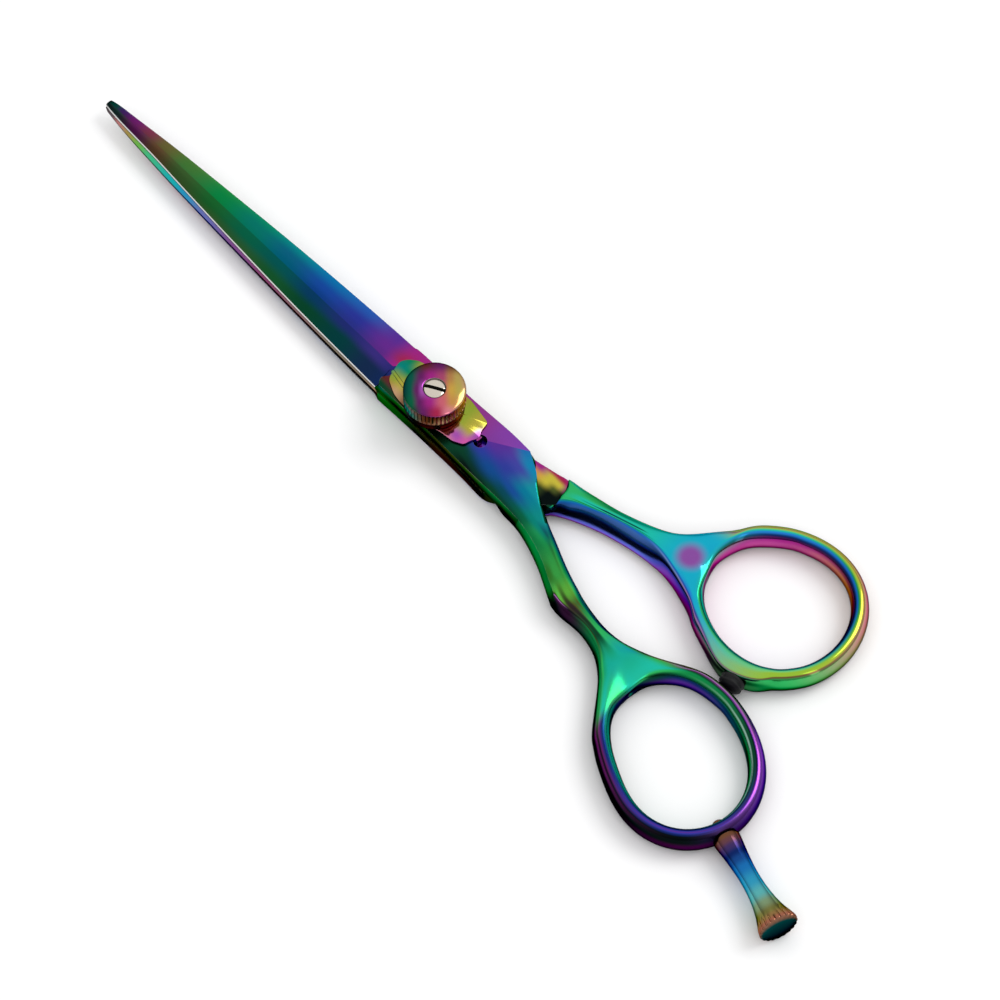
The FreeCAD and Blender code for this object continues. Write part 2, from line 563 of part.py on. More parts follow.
polar.Axis = (groove_sk, ["N_Axis"])
polar.Angle = 360
polar.Occurrences = int(D["knurl_count"])
knob.Tip = polar
doc.recompute()

# ------------------------------------------------------------------ finger rest, turned, on a threaded stud
rest = new_body("finger_rest")
revolve(rest, "rest_turned", [
    ("0", "-3.30"), ("Dims.rest_stud_radius - 0.2", "-3.30"), ("Dims.rest_stud_radius", "-3.10"),
    ("Dims.rest_stud_radius", "0"), ("Dims.rest_collar_radius - 0.12", "0"), ("Dims.rest_collar_radius", "0.20"),
    ("Dims.rest_collar_radius - 0.06", "1.30"), ("Dims.rest_collar_radius - 0.22", "1.45"),
    ("1.84", "3.4"), ("Dims.rest_neck_radius + 0.06", "5.8"), ("Dims.rest_neck_radius", "8.2"),
    ("1.66", "10.6"), ("2.04", "13.0"), ("2.60", "15.2"), ("Dims.rest_flare_radius", "Dims.rest_length"),
    ("Dims.rest_flare_radius - 0.25", "Dims.rest_length + 0.25"), ("2.0", "Dims.rest_length + 0.80"), ("0", "Dims.rest_length + 1.05")])
rest.Placement = Placement(rest_foot, Rotation(Vector(0, 0, 1), rest_dir))
doc.recompute()

# ------------------------------------------------------------------ rubber bumper with its stem
bumper = new_body("bumper")
revolve(bumper, "bumper_moulded", [
    ("0", "-Dims.bumper_stem_length + 0.1"), ("Dims.bumper_stem_radius", "-Dims.bumper_stem_length + 0.1"),
    ("Dims.bumper_stem_radius", "0"), ("Dims.bumper_radius", "0"), ("Dims.bumper_radius", "0.45"),
    ("Dims.bumper_radius - 0.22", "0.65"), ("Dims.bumper_radius - 0.22", "0.80"), ("Dims.bumper_radius - 0.05", "1.0"),
    ("Dims.bumper_radius - 0.05", "1.30"), ("Dims.bumper_radius - 0.45", "Dims.bumper_height - 0.12"),
    ("1.0", "Dims.bumper_height"), ("0", "Dims.bumper_height")])
bumper.Placement = Placement(seat, Rotation(Vector(0, 0, 1), Vector(sx, sy, 0)))
doc.recompute()

# ------------------------------------------------------------------ checks and files
for obj in doc.Objects:
    if any(s in ("Invalid", "Error") for s in obj.State):
        raise RuntimeError("%s failed: %s" % (obj.Label, obj.State))
for obj in (front_half, back_half, bolt, bush, head_washer, ride_washer, wave_washer, tension, knob, rest, bumper):
    shape = obj.Shape
    if shape.isNull() or not shape.isValid() or shape.Volume < 0.5:
        raise RuntimeError("%s has no valid shape" % obj.Label)
    print("%-14s %4d faces %2d solids %9.2f mm3  box %s" % (obj.Label, len(shape.Faces), len(shape.Solids), shape.Volume,
          [round(v, 2) for v in (shape.BoundBox.XMin, shape.BoundBox.XMax, shape.BoundBox.YMin, shape.BoundBox.YMax, shape.BoundBox.ZMin, shape.BoundBox.ZMax)]))
    shape.exportStep("parts/%s.step" % obj.Label)
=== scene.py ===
import bpy, bmesh, math
import numpy as np
from mathutils import Vector, Matrix


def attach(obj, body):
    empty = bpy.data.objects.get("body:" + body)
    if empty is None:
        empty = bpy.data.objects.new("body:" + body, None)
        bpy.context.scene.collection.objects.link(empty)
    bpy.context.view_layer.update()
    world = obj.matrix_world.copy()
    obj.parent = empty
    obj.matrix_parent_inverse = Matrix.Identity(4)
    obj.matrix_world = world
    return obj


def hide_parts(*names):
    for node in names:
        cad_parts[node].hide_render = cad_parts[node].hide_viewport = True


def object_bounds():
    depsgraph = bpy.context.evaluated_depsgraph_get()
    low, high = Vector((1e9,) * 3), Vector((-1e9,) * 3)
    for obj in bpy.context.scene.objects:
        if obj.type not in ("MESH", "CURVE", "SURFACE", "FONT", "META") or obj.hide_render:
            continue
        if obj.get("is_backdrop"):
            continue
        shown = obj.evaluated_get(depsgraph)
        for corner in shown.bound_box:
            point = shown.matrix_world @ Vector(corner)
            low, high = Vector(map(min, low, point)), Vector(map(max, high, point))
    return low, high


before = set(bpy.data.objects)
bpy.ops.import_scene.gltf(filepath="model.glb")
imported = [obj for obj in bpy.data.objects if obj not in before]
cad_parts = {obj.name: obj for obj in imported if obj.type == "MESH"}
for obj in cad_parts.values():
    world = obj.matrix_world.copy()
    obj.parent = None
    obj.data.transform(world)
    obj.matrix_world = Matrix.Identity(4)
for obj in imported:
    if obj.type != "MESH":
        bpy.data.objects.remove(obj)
bounds_at_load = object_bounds()
MM = 0.001


# =============================================================== node helpers
def new_material(name):
    m = bpy.data.materials.new(name)
    m.use_nodes = True
    nt = m.node_tree
    nt.nodes.clear()
    out = nt.nodes.new("ShaderNodeOutputMaterial")
    sh = nt.nodes.new("ShaderNodeBsdfPrincipled")
    nt.links.new(sh.outputs["BSDF"], out.inputs["Surface"])
    return m, nt, sh


def node(nt, kind, **values):
    n = nt.nodes.new(kind)
    for k, v in values.items():
        if hasattr(n, k):
            setattr(n, k, v)
        else:
            n.inputs[k].default_value = v
    return n


def math_node(nt, op, a, b=0.5, c=None, clamp=False):
    n = nt.nodes.new("ShaderNodeMath")
    n.operation = op
    n.use_clamp = clamp
    for i, v in enumerate((a, b, c)):
        if v is None:
            continue
        if isinstance(v, (int, float)):
            n.inputs[i].default_value = v
        else:
            nt.links.new(v, n.inputs[i])
    return n.outputs[0]


def ramp(nt, fac, stops, interpolation="EASE"):
    n = nt.nodes.new("ShaderNodeValToRGB")
    n.color_ramp.interpolation = interpolation
    els = n.color_ramp.elements
    while len(els) > 1:
        els.remove(els[-1])
    els[0].position = stops[0][0]
    els[0].color = (*stops[0][1], 1)
    for p, c in stops[1:]:
        e = els.new(p)
        e.color = (*c, 1)
    nt.links.new(fac, n.inputs["Fac"])
    return n.outputs["Color"]


def mix_color(nt, fac, a, b, blend="MIX"):
    n = nt.nodes.new("ShaderNodeMix")
    n.data_type = "RGBA"
    n.blend_type = blend
    for sock, v in ((n.inputs[0], fac), (n.inputs[6], a), (n.inputs[7], b)):
        if isinstance(v, (int, float)):
            sock.default_value = v
        elif isinstance(v, tuple):
            sock.default_value = (*v, 1) if len(v) == 3 else v
        else:
            nt.links.new(v, sock)
    return n.outputs[2]


def map_range(nt, v, a, b, c=0.0, d=1.0, smooth=False):
    n = nt.nodes.new("ShaderNodeMapRange")
    n.interpolation_type = "SMOOTHSTEP" if smooth else "LINEAR"
    n.inputs["From Min"].default_value = a
    n.inputs["From Max"].default_value = b
    n.inputs["To Min"].default_value = c
    n.inputs["To Max"].default_value = d
    nt.links.new(v, n.inputs["Value"])
    return n.outputs["Result"]


def object_xyz(nt):
    tc = nt.nodes.new("ShaderNodeTexCoord")
    sep = nt.nodes.new("ShaderNodeSeparateXYZ")
    nt.links.new(tc.outputs["Object"], sep.inputs[0])
    return tc.outputs["Object"], sep.outputs[0], sep.outputs[1], sep.outputs[2]


def noise(nt, vector, scale, detail=2.0, rough=0.5):
    n = nt.nodes.new("ShaderNodeTexNoise")
    n.inputs["Scale"].default_value = scale
    n.inputs["Detail"].default_value = detail
    n.inputs["Roughness"].default_value = rough
    nt.links.new(vector, n.inputs["Vector"])
    return n.outputs["Fac"]


def wear_and_edge_highlight(nt, radius=0.00008):
    """1 on convex edges, 0 elsewhere; lightens edges both as rubbed steel and as a painted highlight line."""
    b = nt.nodes.new("ShaderNodeBevel")
    b.samples = 4
    b.inputs["Radius"].default_value = radius
    g = nt.nodes.new("ShaderNodeNewGeometry")
    d = nt.nodes.new("ShaderNodeVectorMath")
    d.operation = "DOT_PRODUCT"
    nt.links.new(b.outputs[0], d.inputs[0])
    nt.links.new(g.outputs["Normal"], d.inputs[1])
    return map_range(nt, d.outputs["Value"], 0.97, 0.80)


def scaled_vector(nt, vector, s):
    n = nt.nodes.new("ShaderNodeVectorMath")
    n.operation = "MULTIPLY"
    nt.links.new(vector, n.inputs[0])
    n.inputs[1].default_value = s
    return n.outputs[0]


# linear interference colours of an oxide film on polished steel; pale and lilac serve as painted highlight lines
C = dict(
    black=(0.003, 0.006, 0.006), dgreen=(0.004, 0.050, 0.022), green=(0.006, 0.240, 0.060), bgreen=(0.030, 0.440, 0.110), lgreen=(0.16, 0.60, 0.20),
    teal=(0.004, 0.220, 0.180), bteal=(0.015, 0.500, 0.360), cyan=(0.010, 0.400, 0.560), blue=(0.010, 0.110, 0.420), bblue=(0.02, 0.20, 0.62), navy=(0.006, 0.020, 0.120),
    indigo=(0.030, 0.038, 0.320), violet=(0.095, 0.030, 0.290), bviolet=(0.20, 0.06, 0.42), orchid=(0.360, 0.080, 0.400), lilac_highlight=(0.55, 0.30, 0.66),
    magenta=(0.330, 0.020, 0.210), pinkm=(0.60, 0.10, 0.36), crimson=(0.360, 0.020, 0.070), plum=(0.120, 0.016, 0.110), maroon=(0.110, 0.022, 0.022),
    brown=(0.150, 0.062, 0.030), olive=(0.075, 0.095, 0.020), dolive=(0.030, 0.050, 0.014), ygreen=(0.300, 0.500, 0.040), yellow=(0.560, 0.470, 0.050),
    orange=(0.620, 0.260, 0.070), tan=(0.500, 0.300, 0.160), pink=(0.66, 0.20, 0.26), grey=(0.20, 0.18, 0.17), pale_highlight=(0.42, 0.66, 0.56), white=(0.75, 0.74, 0.70))


def film_map(nt, u, v, rows, lo, hi):
    """Film colour over two directions: each row is a run of colours over v at one value of u."""
    fac = map_range(nt, v, lo, hi)
    col, before = None, None
    for at, stops in rows:
        c = ramp(nt, fac, [((p - lo) / (hi - lo), C[k] if isinstance(k, str) else k) for p, k in stops])
        col = c if col is None else mix_color(nt, map_range(nt, u, before, at, smooth=True), col, c)
        before = at
    return col


def weighted(nt, X, Y, Z, w):
    out = math_node(nt, "MULTIPLY", X, w[0] * 1000)
    out = math_node(nt, "ADD", out, math_node(nt, "MULTIPLY", Y, w[1] * 1000))
    return math_node(nt, "ADD", out, math_node(nt, "MULTIPLY", Z, w[2] * 1000))


def wander(nt, vec, v, amount, scale=90.0):
    d = math_node(nt, "MULTIPLY", math_node(nt, "SUBTRACT", noise(nt, vec, scale, 2.0), 0.5), amount)
    return math_node(nt, "ADD", v, d)


def section_angle(nt, lateral, up):
    """Degrees round a section: 0 on the side that lateral points to, 90 on top, 180 on the far side, 270 below."""
    a = math_node(nt, "ARCTAN2", up, lateral)
    a = math_node(nt, "MULTIPLY", a, 180 / math.pi)
    low = math_node(nt, "LESS_THAN", a, -90.0)
    return math_node(nt, "ADD", a, math_node(nt, "MULTIPLY", low, 360.0))


def object_normal(nt):
    tc = nt.nodes.new("ShaderNodeTexCoord")
    sep = nt.nodes.new("ShaderNodeSeparateXYZ")
    nt.links.new(tc.outputs["Normal"], sep.inputs[0])
    return sep.outputs[0], sep.outputs[1], sep.outputs[2]


def coated_place(name, u, v, rows, lo, hi, rough=0.10, swirl=1.0):
    """Film over two directions of the object's place (weights per mm)."""
    m, nt, sh = new_material(name)
    vec, X, Y, Z = object_xyz(nt)
    col = film_map(nt, wander(nt, vec, weighted(nt, X, Y, Z, u), swirl), wander(nt, vec, weighted(nt, X, Y, Z, v), swirl, 70.0), rows, lo, hi)
    finish_metal(nt, sh, vec, col, rough)
    return m


def grip_colour(nt, vec, X, Y, rows, spot=None):
    nx, ny, nz = object_normal(nt)
    phi = wander(nt, vec, section_angle(nt, ny, nz), 14.0, 160.0)
    u = wander(nt, vec, math_node(nt, "MULTIPLY", X, -1000.0), 1.5)
    col = film_map(nt, u, phi, rows, -90, 270)
    if spot:
        sx, sy, r0, r1, key = spot
        dx = math_node(nt, "SUBTRACT", X, sx * MM)
        dy = math_node(nt, "SUBTRACT", Y, sy * MM)
        d = math_node(nt, "SQRT", math_node(nt, "ADD", math_node(nt, "MULTIPLY", dx, dx), math_node(nt, "MULTIPLY", dy, dy)))
        near = map_range(nt, d, r0 * MM, r1 * MM, 1.0, 0.0, smooth=True)
        up = map_range(nt, nz, 0.80, 0.95)
        col = mix_color(nt, math_node(nt, "MULTIPLY", math_node(nt, "MULTIPLY", near, up), 0.95), col, key)
    return col


def coated_limb(name, rows, centre, sectors, d0, d1, join, spot=None, hollow=None, rough=0.10):
    """Film on a handle that runs into its ring: the ring's colours inside d0 of its centre, the handle's beyond d1.
    join: (angle, cosine where the handle's colours end, cosine where they are full, inner mm, outer mm)."""
    m, nt, sh = new_material(name)
    vec, X, Y, Z = object_xyz(nt)
    col = grip_colour(nt, vec, X, Y, rows, spot)
    ring_col, d, rx, ry = ring_colour(nt, vec, X, Y, centre, sectors)
    share = map_range(nt, d, d0 * MM, d1 * MM, 1.0, 0.0, smooth=True)
    ja, c0, c1, r0, r1 = join
    ja = math.radians(ja)
    facing = math_node(nt, "ADD", math_node(nt, "MULTIPLY", rx, math.cos(ja)), math_node(nt, "MULTIPLY", ry, math.sin(ja)))
    cap = math_node(nt, "MULTIPLY", map_range(nt, facing, c0, c1, smooth=True), map_range(nt, d, r0 * MM, r1 * MM, smooth=True))
    share = math_node(nt, "MULTIPLY", share, math_node(nt, "SUBTRACT", 1.0, cap))
    col = mix_color(nt, share, col, ring_col)
    if hollow:
        hrows, u, v, lo, hi, e0, e1 = hollow
        hu = wander(nt, vec, weighted(nt, X, Y, Z, u), 0.8)
        hv = wander(nt, vec, weighted(nt, X, Y, Z, v), 0.8, 70.0)
        hcol = film_map(nt, hu, hv, hrows, lo, hi)
        nx, ny, nz = object_normal(nt)
        w = math_node(nt, "MULTIPLY", map_range(nt, hu, e0, e1, 1.0, 0.0, smooth=True), map_range(nt, nz, 0.45, 0.80))
        col = mix_color(nt, w, col, hcol)
    finish_metal(nt, sh, vec, col, rough)
    return m


def ring_colour(nt, vec, X, Y, centre, sectors):
    """Colours round a ring: four sectors a quarter turn apart, each with its colours round the section."""
    nx, ny, nz = object_normal(nt)
    dx = math_node(nt, "SUBTRACT", X, centre[0] * MM)
    dy = math_node(nt, "SUBTRACT", Y, centre[1] * MM)
    d = math_node(nt, "SQRT", math_node(nt, "ADD", math_node(nt, "MULTIPLY", dx, dx), math_node(nt, "MULTIPLY", dy, dy)))
    rx, ry = math_node(nt, "DIVIDE", dx, d), math_node(nt, "DIVIDE", dy, d)
    radial = math_node(nt, "ADD", math_node(nt, "MULTIPLY", nx, rx), math_node(nt, "MULTIPLY", ny, ry))
    phi = wander(nt, vec, section_angle(nt, radial, nz), 14.0, 120.0)
    fac = map_range(nt, phi, -90, 270)
    total = None
    for angle, stops in sectors:
        a = math.radians(angle)
        w = math_node(nt, "ADD", math_node(nt, "MULTIPLY", rx, math.cos(a)), math_node(nt, "MULTIPLY", ry, math.sin(a)))
        w = math_node(nt, "MAXIMUM", w, 0.0)
        w = math_node(nt, "MULTIPLY", w, w)
        c = ramp(nt, fac, [((p + 90) / 360, C[k] if isinstance(k, str) else k) for p, k in stops])
        n = nt.nodes.new("ShaderNodeVectorMath")
        n.operation = "SCALE"
        nt.links.new(c, n.inputs[0])
        nt.links.new(w, n.inputs["Scale"])
        if total is None:
            total = n.outputs[0]
        else:
            s2 = nt.nodes.new("ShaderNodeVectorMath")
            s2.operation = "ADD"
            nt.links.new(total, s2.inputs[0])
            nt.links.new(n.outputs[0], s2.inputs[1])
            total = s2.outputs[0]
    return total, d, rx, ry


def coated(name, axis, stops, lo, hi, gain=1.0, swirl=0.05, rough=0.10, across=None):
    """Polished steel with an interference film. The film's colour runs along one direction of the object.
    axis: (ax, ay, az) weights, in 1/mm of the object's place; stops: (mm along the direction, colour name)."""
    m, nt, sh = new_material(name)
    vec, X, Y, Z = object_xyz(nt)
    along = math_node(nt, "MULTIPLY", X, axis[0] * 1000)
    along = math_node(nt, "ADD", along, math_node(nt, "MULTIPLY", Y, axis[1] * 1000))
    along = math_node(nt, "ADD", along, math_node(nt, "MULTIPLY", Z, axis[2] * 1000))
    # the film's thickness wanders a little
    drift = math_node(nt, "MULTIPLY", math_node(nt, "SUBTRACT", noise(nt, vec, 90.0, 2.0), 0.5), swirl * 20)
    along = math_node(nt, "ADD", along, drift)
    fac = map_range(nt, along, lo, hi)
    col = ramp(nt, fac, [((p - lo) / (hi - lo), C[c]) for p, c in stops])
    if across:
        other, a0, a1, weights = across
        t = math_node(nt, "MULTIPLY", X, weights[0] * 1000)
        t = math_node(nt, "ADD", t, math_node(nt, "MULTIPLY", Y, weights[1] * 1000))
        t = math_node(nt, "ADD", t, math_node(nt, "MULTIPLY", Z, weights[2] * 1000))
        col2 = ramp(nt, fac, [((p - lo) / (hi - lo), C[c]) for p, c in other])
        col = mix_color(nt, map_range(nt, t, a0, a1, smooth=True), col, col2)
    finish_metal(nt, sh, vec, col, rough)
    return m


def finish_metal(nt, sh, vec, col, rough):
    # rubbed edges show the steel and also carry a painted highlight line; faint lengthwise polishing marks; smudges of
    # handling
    edge = wear_and_edge_highlight(nt)
    patchy = map_range(nt, noise(nt, vec, 900.0, 3.0, 0.6), 0.42, 0.62)
    edge = math_node(nt, "MULTIPLY", edge, math_node(nt, "ADD", 0.14, math_node(nt, "MULTIPLY", patchy, 0.36)))
    col = mix_color(nt, edge, col, (0.55, 0.62, 0.60))
    nt.links.new(col, sh.inputs["Base Color"])
    sh.inputs["Metallic"].default_value = 1.0
    sh.inputs["Specular Tint"].default_value = (0.16, 0.17, 0.20, 1)
    marks = noise(nt, scaled_vector(nt, vec, (120.0, 2600.0, 2600.0)), 1.0, 2.0, 0.6)
    smudge = noise(nt, vec, 160.0, 3.0, 0.55)
    r = math_node(nt, "ADD", rough * 0.75, math_node(nt, "MULTIPLY", smudge, rough * 0.55))
    r = math_node(nt, "ADD", r, math_node(nt, "MULTIPLY", marks, rough * 0.25))
    nt.links.new(r, sh.inputs["Roughness"])
    bump = nt.nodes.new("ShaderNodeBump")
    bump.inputs["Strength"].default_value = 0.05
    bump.inputs["Distance"].default_value = 0.00002
    nt.links.new(marks, bump.inputs["Height"])
    nt.links.new(bump.outputs[0], sh.inputs["Normal"])


def steel(name, tint=(0.70, 0.70, 0.68), rough=0.16, brushed=(2600.0, 120.0, 2600.0)):
    m, nt, sh = new_material(name)
    vec, X, Y, Z = object_xyz(nt)
    cloud = noise(nt, vec, 220.0, 3.0, 0.5)
    col = mix_color(nt, map_range(nt, cloud, 0.3, 0.7), tuple(c * 0.92 for c in tint), tint)
    # convex edges lightened: rubbed steel and a painted highlight line
    edge = math_node(nt, "MULTIPLY", wear_and_edge_highlight(nt), 0.5)
    col = mix_color(nt, edge, col, (0.88, 0.88, 0.87))
    nt.links.new(col, sh.inputs["Base Color"])
    sh.inputs["Metallic"].default_value = 1.0
    marks = noise(nt, scaled_vector(nt, vec, brushed), 1.0, 3.0, 0.6)
    nt.links.new(math_node(nt, "ADD", rough * 0.7, math_node(nt, "MULTIPLY", marks, rough * 0.6)), sh.inputs["Roughness"])
    bump = nt.nodes.new("ShaderNodeBump")
    bump.inputs["Strength"].default_value = 0.12
    bump.inputs["Distance"].default_value = 0.00002
    nt.links.new(marks, bump.inputs["Height"])
    nt.links.new(bump.outputs[0], sh.inputs["Normal"])
    return m


# =============================================================== mesh helpers
class Cage:
    """A Catmull-Clark cage whose finished surface passes through the points it is given."""

    def __init__(self):
        self.points, self.faces, self.mats, self.creases = [], [], [], set()

    def add(self, p):
        self.points.append(tuple(float(v) for v in p))
        return len(self.points) - 1

    def loop(self, pts):
        return [self.add(p) for p in pts]

    def face(self, ids, mat=0):
        self.faces.append(list(ids))
        self.mats.append(mat)

    def crease(self, *ids):
        for a, b in zip(ids[:-1], ids[1:]):
            self.creases.add((min(a, b), max(a, b)))

    def solve(self):
        n = len(self.points)
        T = np.array(self.points)
        L = np.zeros((n, n))
        nbr = [set() for _ in range(n)]
        diag = [[] for _ in range(n)]
        for f in self.faces:
            k = len(f)
            for i, v in enumerate(f):
                nbr[v].update((f[i - 1], f[(i + 1) % k]))
                if k == 4:
                    diag[v].append([(f[(i + 2) % 4], 1.0)])
                else:
                    # face point's share, as the diagonal corner that would give the same face point
                    w = [(f[(i + j) % k], 4.0 / k) for j in range(k)]
                    w[0] = (w[0][0], 4.0 / k - 1.0)
                    w[1] = (w[1][0], 4.0 / k - 1.0)
                    w[-1] = (w[-1][0], 4.0 / k - 1.0)
                    diag[v].append(w)
        hard = [[] for _ in range(n)]
        for a, b in self.creases:
            hard[a].append(b)
            hard[b].append(a)
        for v in range(n):
            if len(hard[v]) >= 3:
                L[v, v] = 1.0
            elif len(hard[v]) == 2:
                L[v, v] += 4 / 6
                for e in hard[v]:
                    L[v, e] += 1 / 6
            else:
                k = len(nbr[v])
                s = k * k + 5.0 * k
                L[v, v] += k * k / s
                for e in nbr[v]:
                    L[v, e] += 4 / s
                for ws in diag[v]:
                    for i, w in ws:
                        L[v, i] += w / s
        return np.linalg.solve(L, T)

    def build(self, name, materials, levels=3):
        co = self.solve() * MM
        me = bpy.data.meshes.new(name)
        me.from_pydata([tuple(c) for c in co], [], self.faces)
        me.validate()
        me.update()
        for m in materials:
            me.materials.append(m)
        me.polygons.foreach_set("material_index", self.mats)
        me.polygons.foreach_set("use_smooth", [True] * len(self.faces))
        att = me.attributes.new("crease_edge", "FLOAT", "EDGE")
        sharp = [1.0 if (min(e.vertices), max(e.vertices)) in self.creases else 0.0 for e in me.edges]
        att.data.foreach_set("value", sharp)
        me.edges.foreach_set("use_edge_sharp", [s > 0.5 for s in sharp])
        ob = bpy.data.objects.new(name, me)
        bpy.context.scene.collection.objects.link(ob)
        bm = bmesh.new()
        bm.from_mesh(me)
        bmesh.ops.recalc_face_normals(bm, faces=bm.faces)
        bm.to_mesh(me)
        bm.free()
        sub = ob.modifiers.new("surface", "SUBSURF")
        sub.levels = sub.render_levels = levels
        sub.use_limit_surface = True
        sub.use_creases = True
        return ob


def mesh_object(name, verts, faces, materials, mats=None, smooth=True):
    me = bpy.data.meshes.new(name)
    me.from_pydata([tuple(v) for v in verts], [], [list(f) for f in faces])
    me.validate()
    for m in materials:
        me.materials.append(m)
    if mats is not None:
        me.polygons.foreach_set("material_index", mats)
    me.polygons.foreach_set("use_smooth", [smooth] * len(me.polygons))
    ob = bpy.data.objects.new(name, me)
    bpy.context.scene.collection.objects.link(ob)
    bm = bmesh.new()
    bm.from_mesh(me)
    bmesh.ops.recalc_face_normals(bm, faces=bm.faces)
    bm.to_mesh(me)
    bm.free()
    return ob


def sharpen(ob, degrees=32):
    """Marks edges steeper than the angle as sharp, so flats stay flat and rounds stay round."""
    me = ob.data
    bm = bmesh.new()
    bm.from_mesh(me)
    lim = math.radians(degrees)
    for e in bm.edges:
        e.smooth = not (len(e.link_faces) == 2 and e.calc_face_angle(0) > lim)
    bm.to_mesh(me)
    bm.free()


def lathe(name, profile, n, materials, radius=None, place=None, closed=True):
    """Turned piece about Z. profile: (r, z, material of the band above it). radius(i, angle, r, z) may shape it further."""
    verts, faces, mats = [], [], []
    rings = []
    for i, (r, z, m) in enumerate(profile):
        if r < 1e-9:
            verts.append((0, 0, z))
            rings.append([len(verts) - 1])
            continue
        ids = []
        for k in range(n):
            a = 2 * math.pi * k / n
            rr = radius(i, a, r, z) if radius else r
            verts.append((rr * math.cos(a), rr * math.sin(a), z))
            ids.append(len(verts) - 1)
        rings.append(ids)
    pairs = list(zip(range(len(profile) - 1), range(1, len(profile))))
    if closed:
        pairs.append((len(profile) - 1, 0))
    for i, j in pairs:
        a, b = rings[i], rings[j]
        m = profile[i][2]
        if len(a) == 1 and len(b) == 1:
            continue
        for k in range(n):
            l = (k + 1) % n
            if len(a) == 1:
                faces.append((a[0], b[k], b[l]))
            elif len(b) == 1:
                faces.append((a[k], b[0], a[l]))
            else:
                faces.append((a[k], b[k], b[l], a[l]))
            mats.append(m)
    v = np.array(verts) * MM
    if place is not None:
        M = np.array(place)
        v = v @ M[:3, :3].T + M[:3, 3]
    return mesh_object(name, v, faces, materials, mats)


# =============================================================== plan of the two halves, mm
THUMB = ((-61.65, -15.36), 12.713, (0.493, 0.043), (0.232, 0.110))
FINGER = ((-70.40, 13.93), 12.935, (1.230, -1.278), (0.186, -0.054))


def ring_point(ring, degrees, offset):
    (cx, cy), mean, second, third = ring
    t = math.radians(degrees)
    r = (mean + second[0] * math.cos(2 * t) + second[1] * math.sin(2 * t)
         + third[0] * math.cos(3 * t) + third[1] * math.sin(3 * t))
    dr = (-2 * second[0] * math.sin(2 * t) + 2 * second[1] * math.cos(2 * t)
          - 3 * third[0] * math.sin(3 * t) + 3 * third[1] * math.cos(3 * t))
    nx = r * math.cos(t) + dr * math.sin(t)
    ny = r * math.sin(t) - dr * math.cos(t)
    n = math.hypot(nx, ny)
    return np.array((cx + r * math.cos(t) + offset * nx / n, cy + r * math.sin(t) + offset * ny / n))


def station(R, L, zt, zb, zr, zl, ir=0.0, il=0.0, br=0.0, bl=0.0, tf=(0, .25, .5, .75, 1)):
    """Twelve points round a section: five along the top from the -Y side, the +Y wall, five along the bottom, the -Y wall."""
    R, L = np.array(R, float), np.array(L, float)
    u = (L - R) / np.linalg.norm(L - R)
    if isinstance(zt, (int, float)):
        zt = (zt,) * 5
    if isinstance(zb, (int, float)):
        zb = (zb,) * 5
    pts = []
    for t, z in zip(tf, zt):
        p = (R + u * ir) * (1 - t) + (L - u * il) * t
        pts.append((p[0], p[1], z))
    pts.append((L[0], L[1], zl))
    for t, z in zip(reversed(tf), reversed(zb)):
        p = (R + u * br) * (1 - t) + (L - u * bl) * t
        pts.append((p[0], p[1], z))
    pts.append((R[0], R[1], zr))
    return pts


T0, T1, T2, T3, T4, LW, B4, B3, B2, B1, B0, RW = range(12)
A_RING, B_RING, Z_RING = 1.45, 2.33, 2.35


def ring_loop(ring, inner, outer, extra=0.0, square=0.0):
    """Eight points round the ring's section: outer top, top, inner top, inner wall, inner bottom, bottom, outer bottom, outer wall."""
    k = 0.70 + 0.18 * square
    ko = 0.70 + 0.24 * square
    mid = 0.5 * (inner + outer)
    a, b = A_RING, B_RING
    pts = []
    for ang, off, z in ((outer, ko * a + extra, .71 + .12 * square), (mid, extra * 0.5, 1.0), (inner, -.70 * a, .71), (inner, -a, 0.0),
                        (inner, -.70 * a, -.71), (mid, extra * 0.5, -1.0), (outer, ko * a + extra, -.71 - .12 * square), (outer, a + extra, 0.0)):
        p = ring_point(ring, ang, off)
        pts.append((p[0], p[1], Z_RING + z * b))
    return pts


def with_top(pts, top):
    return [tuple(t) for t in top] + list(pts[5:])


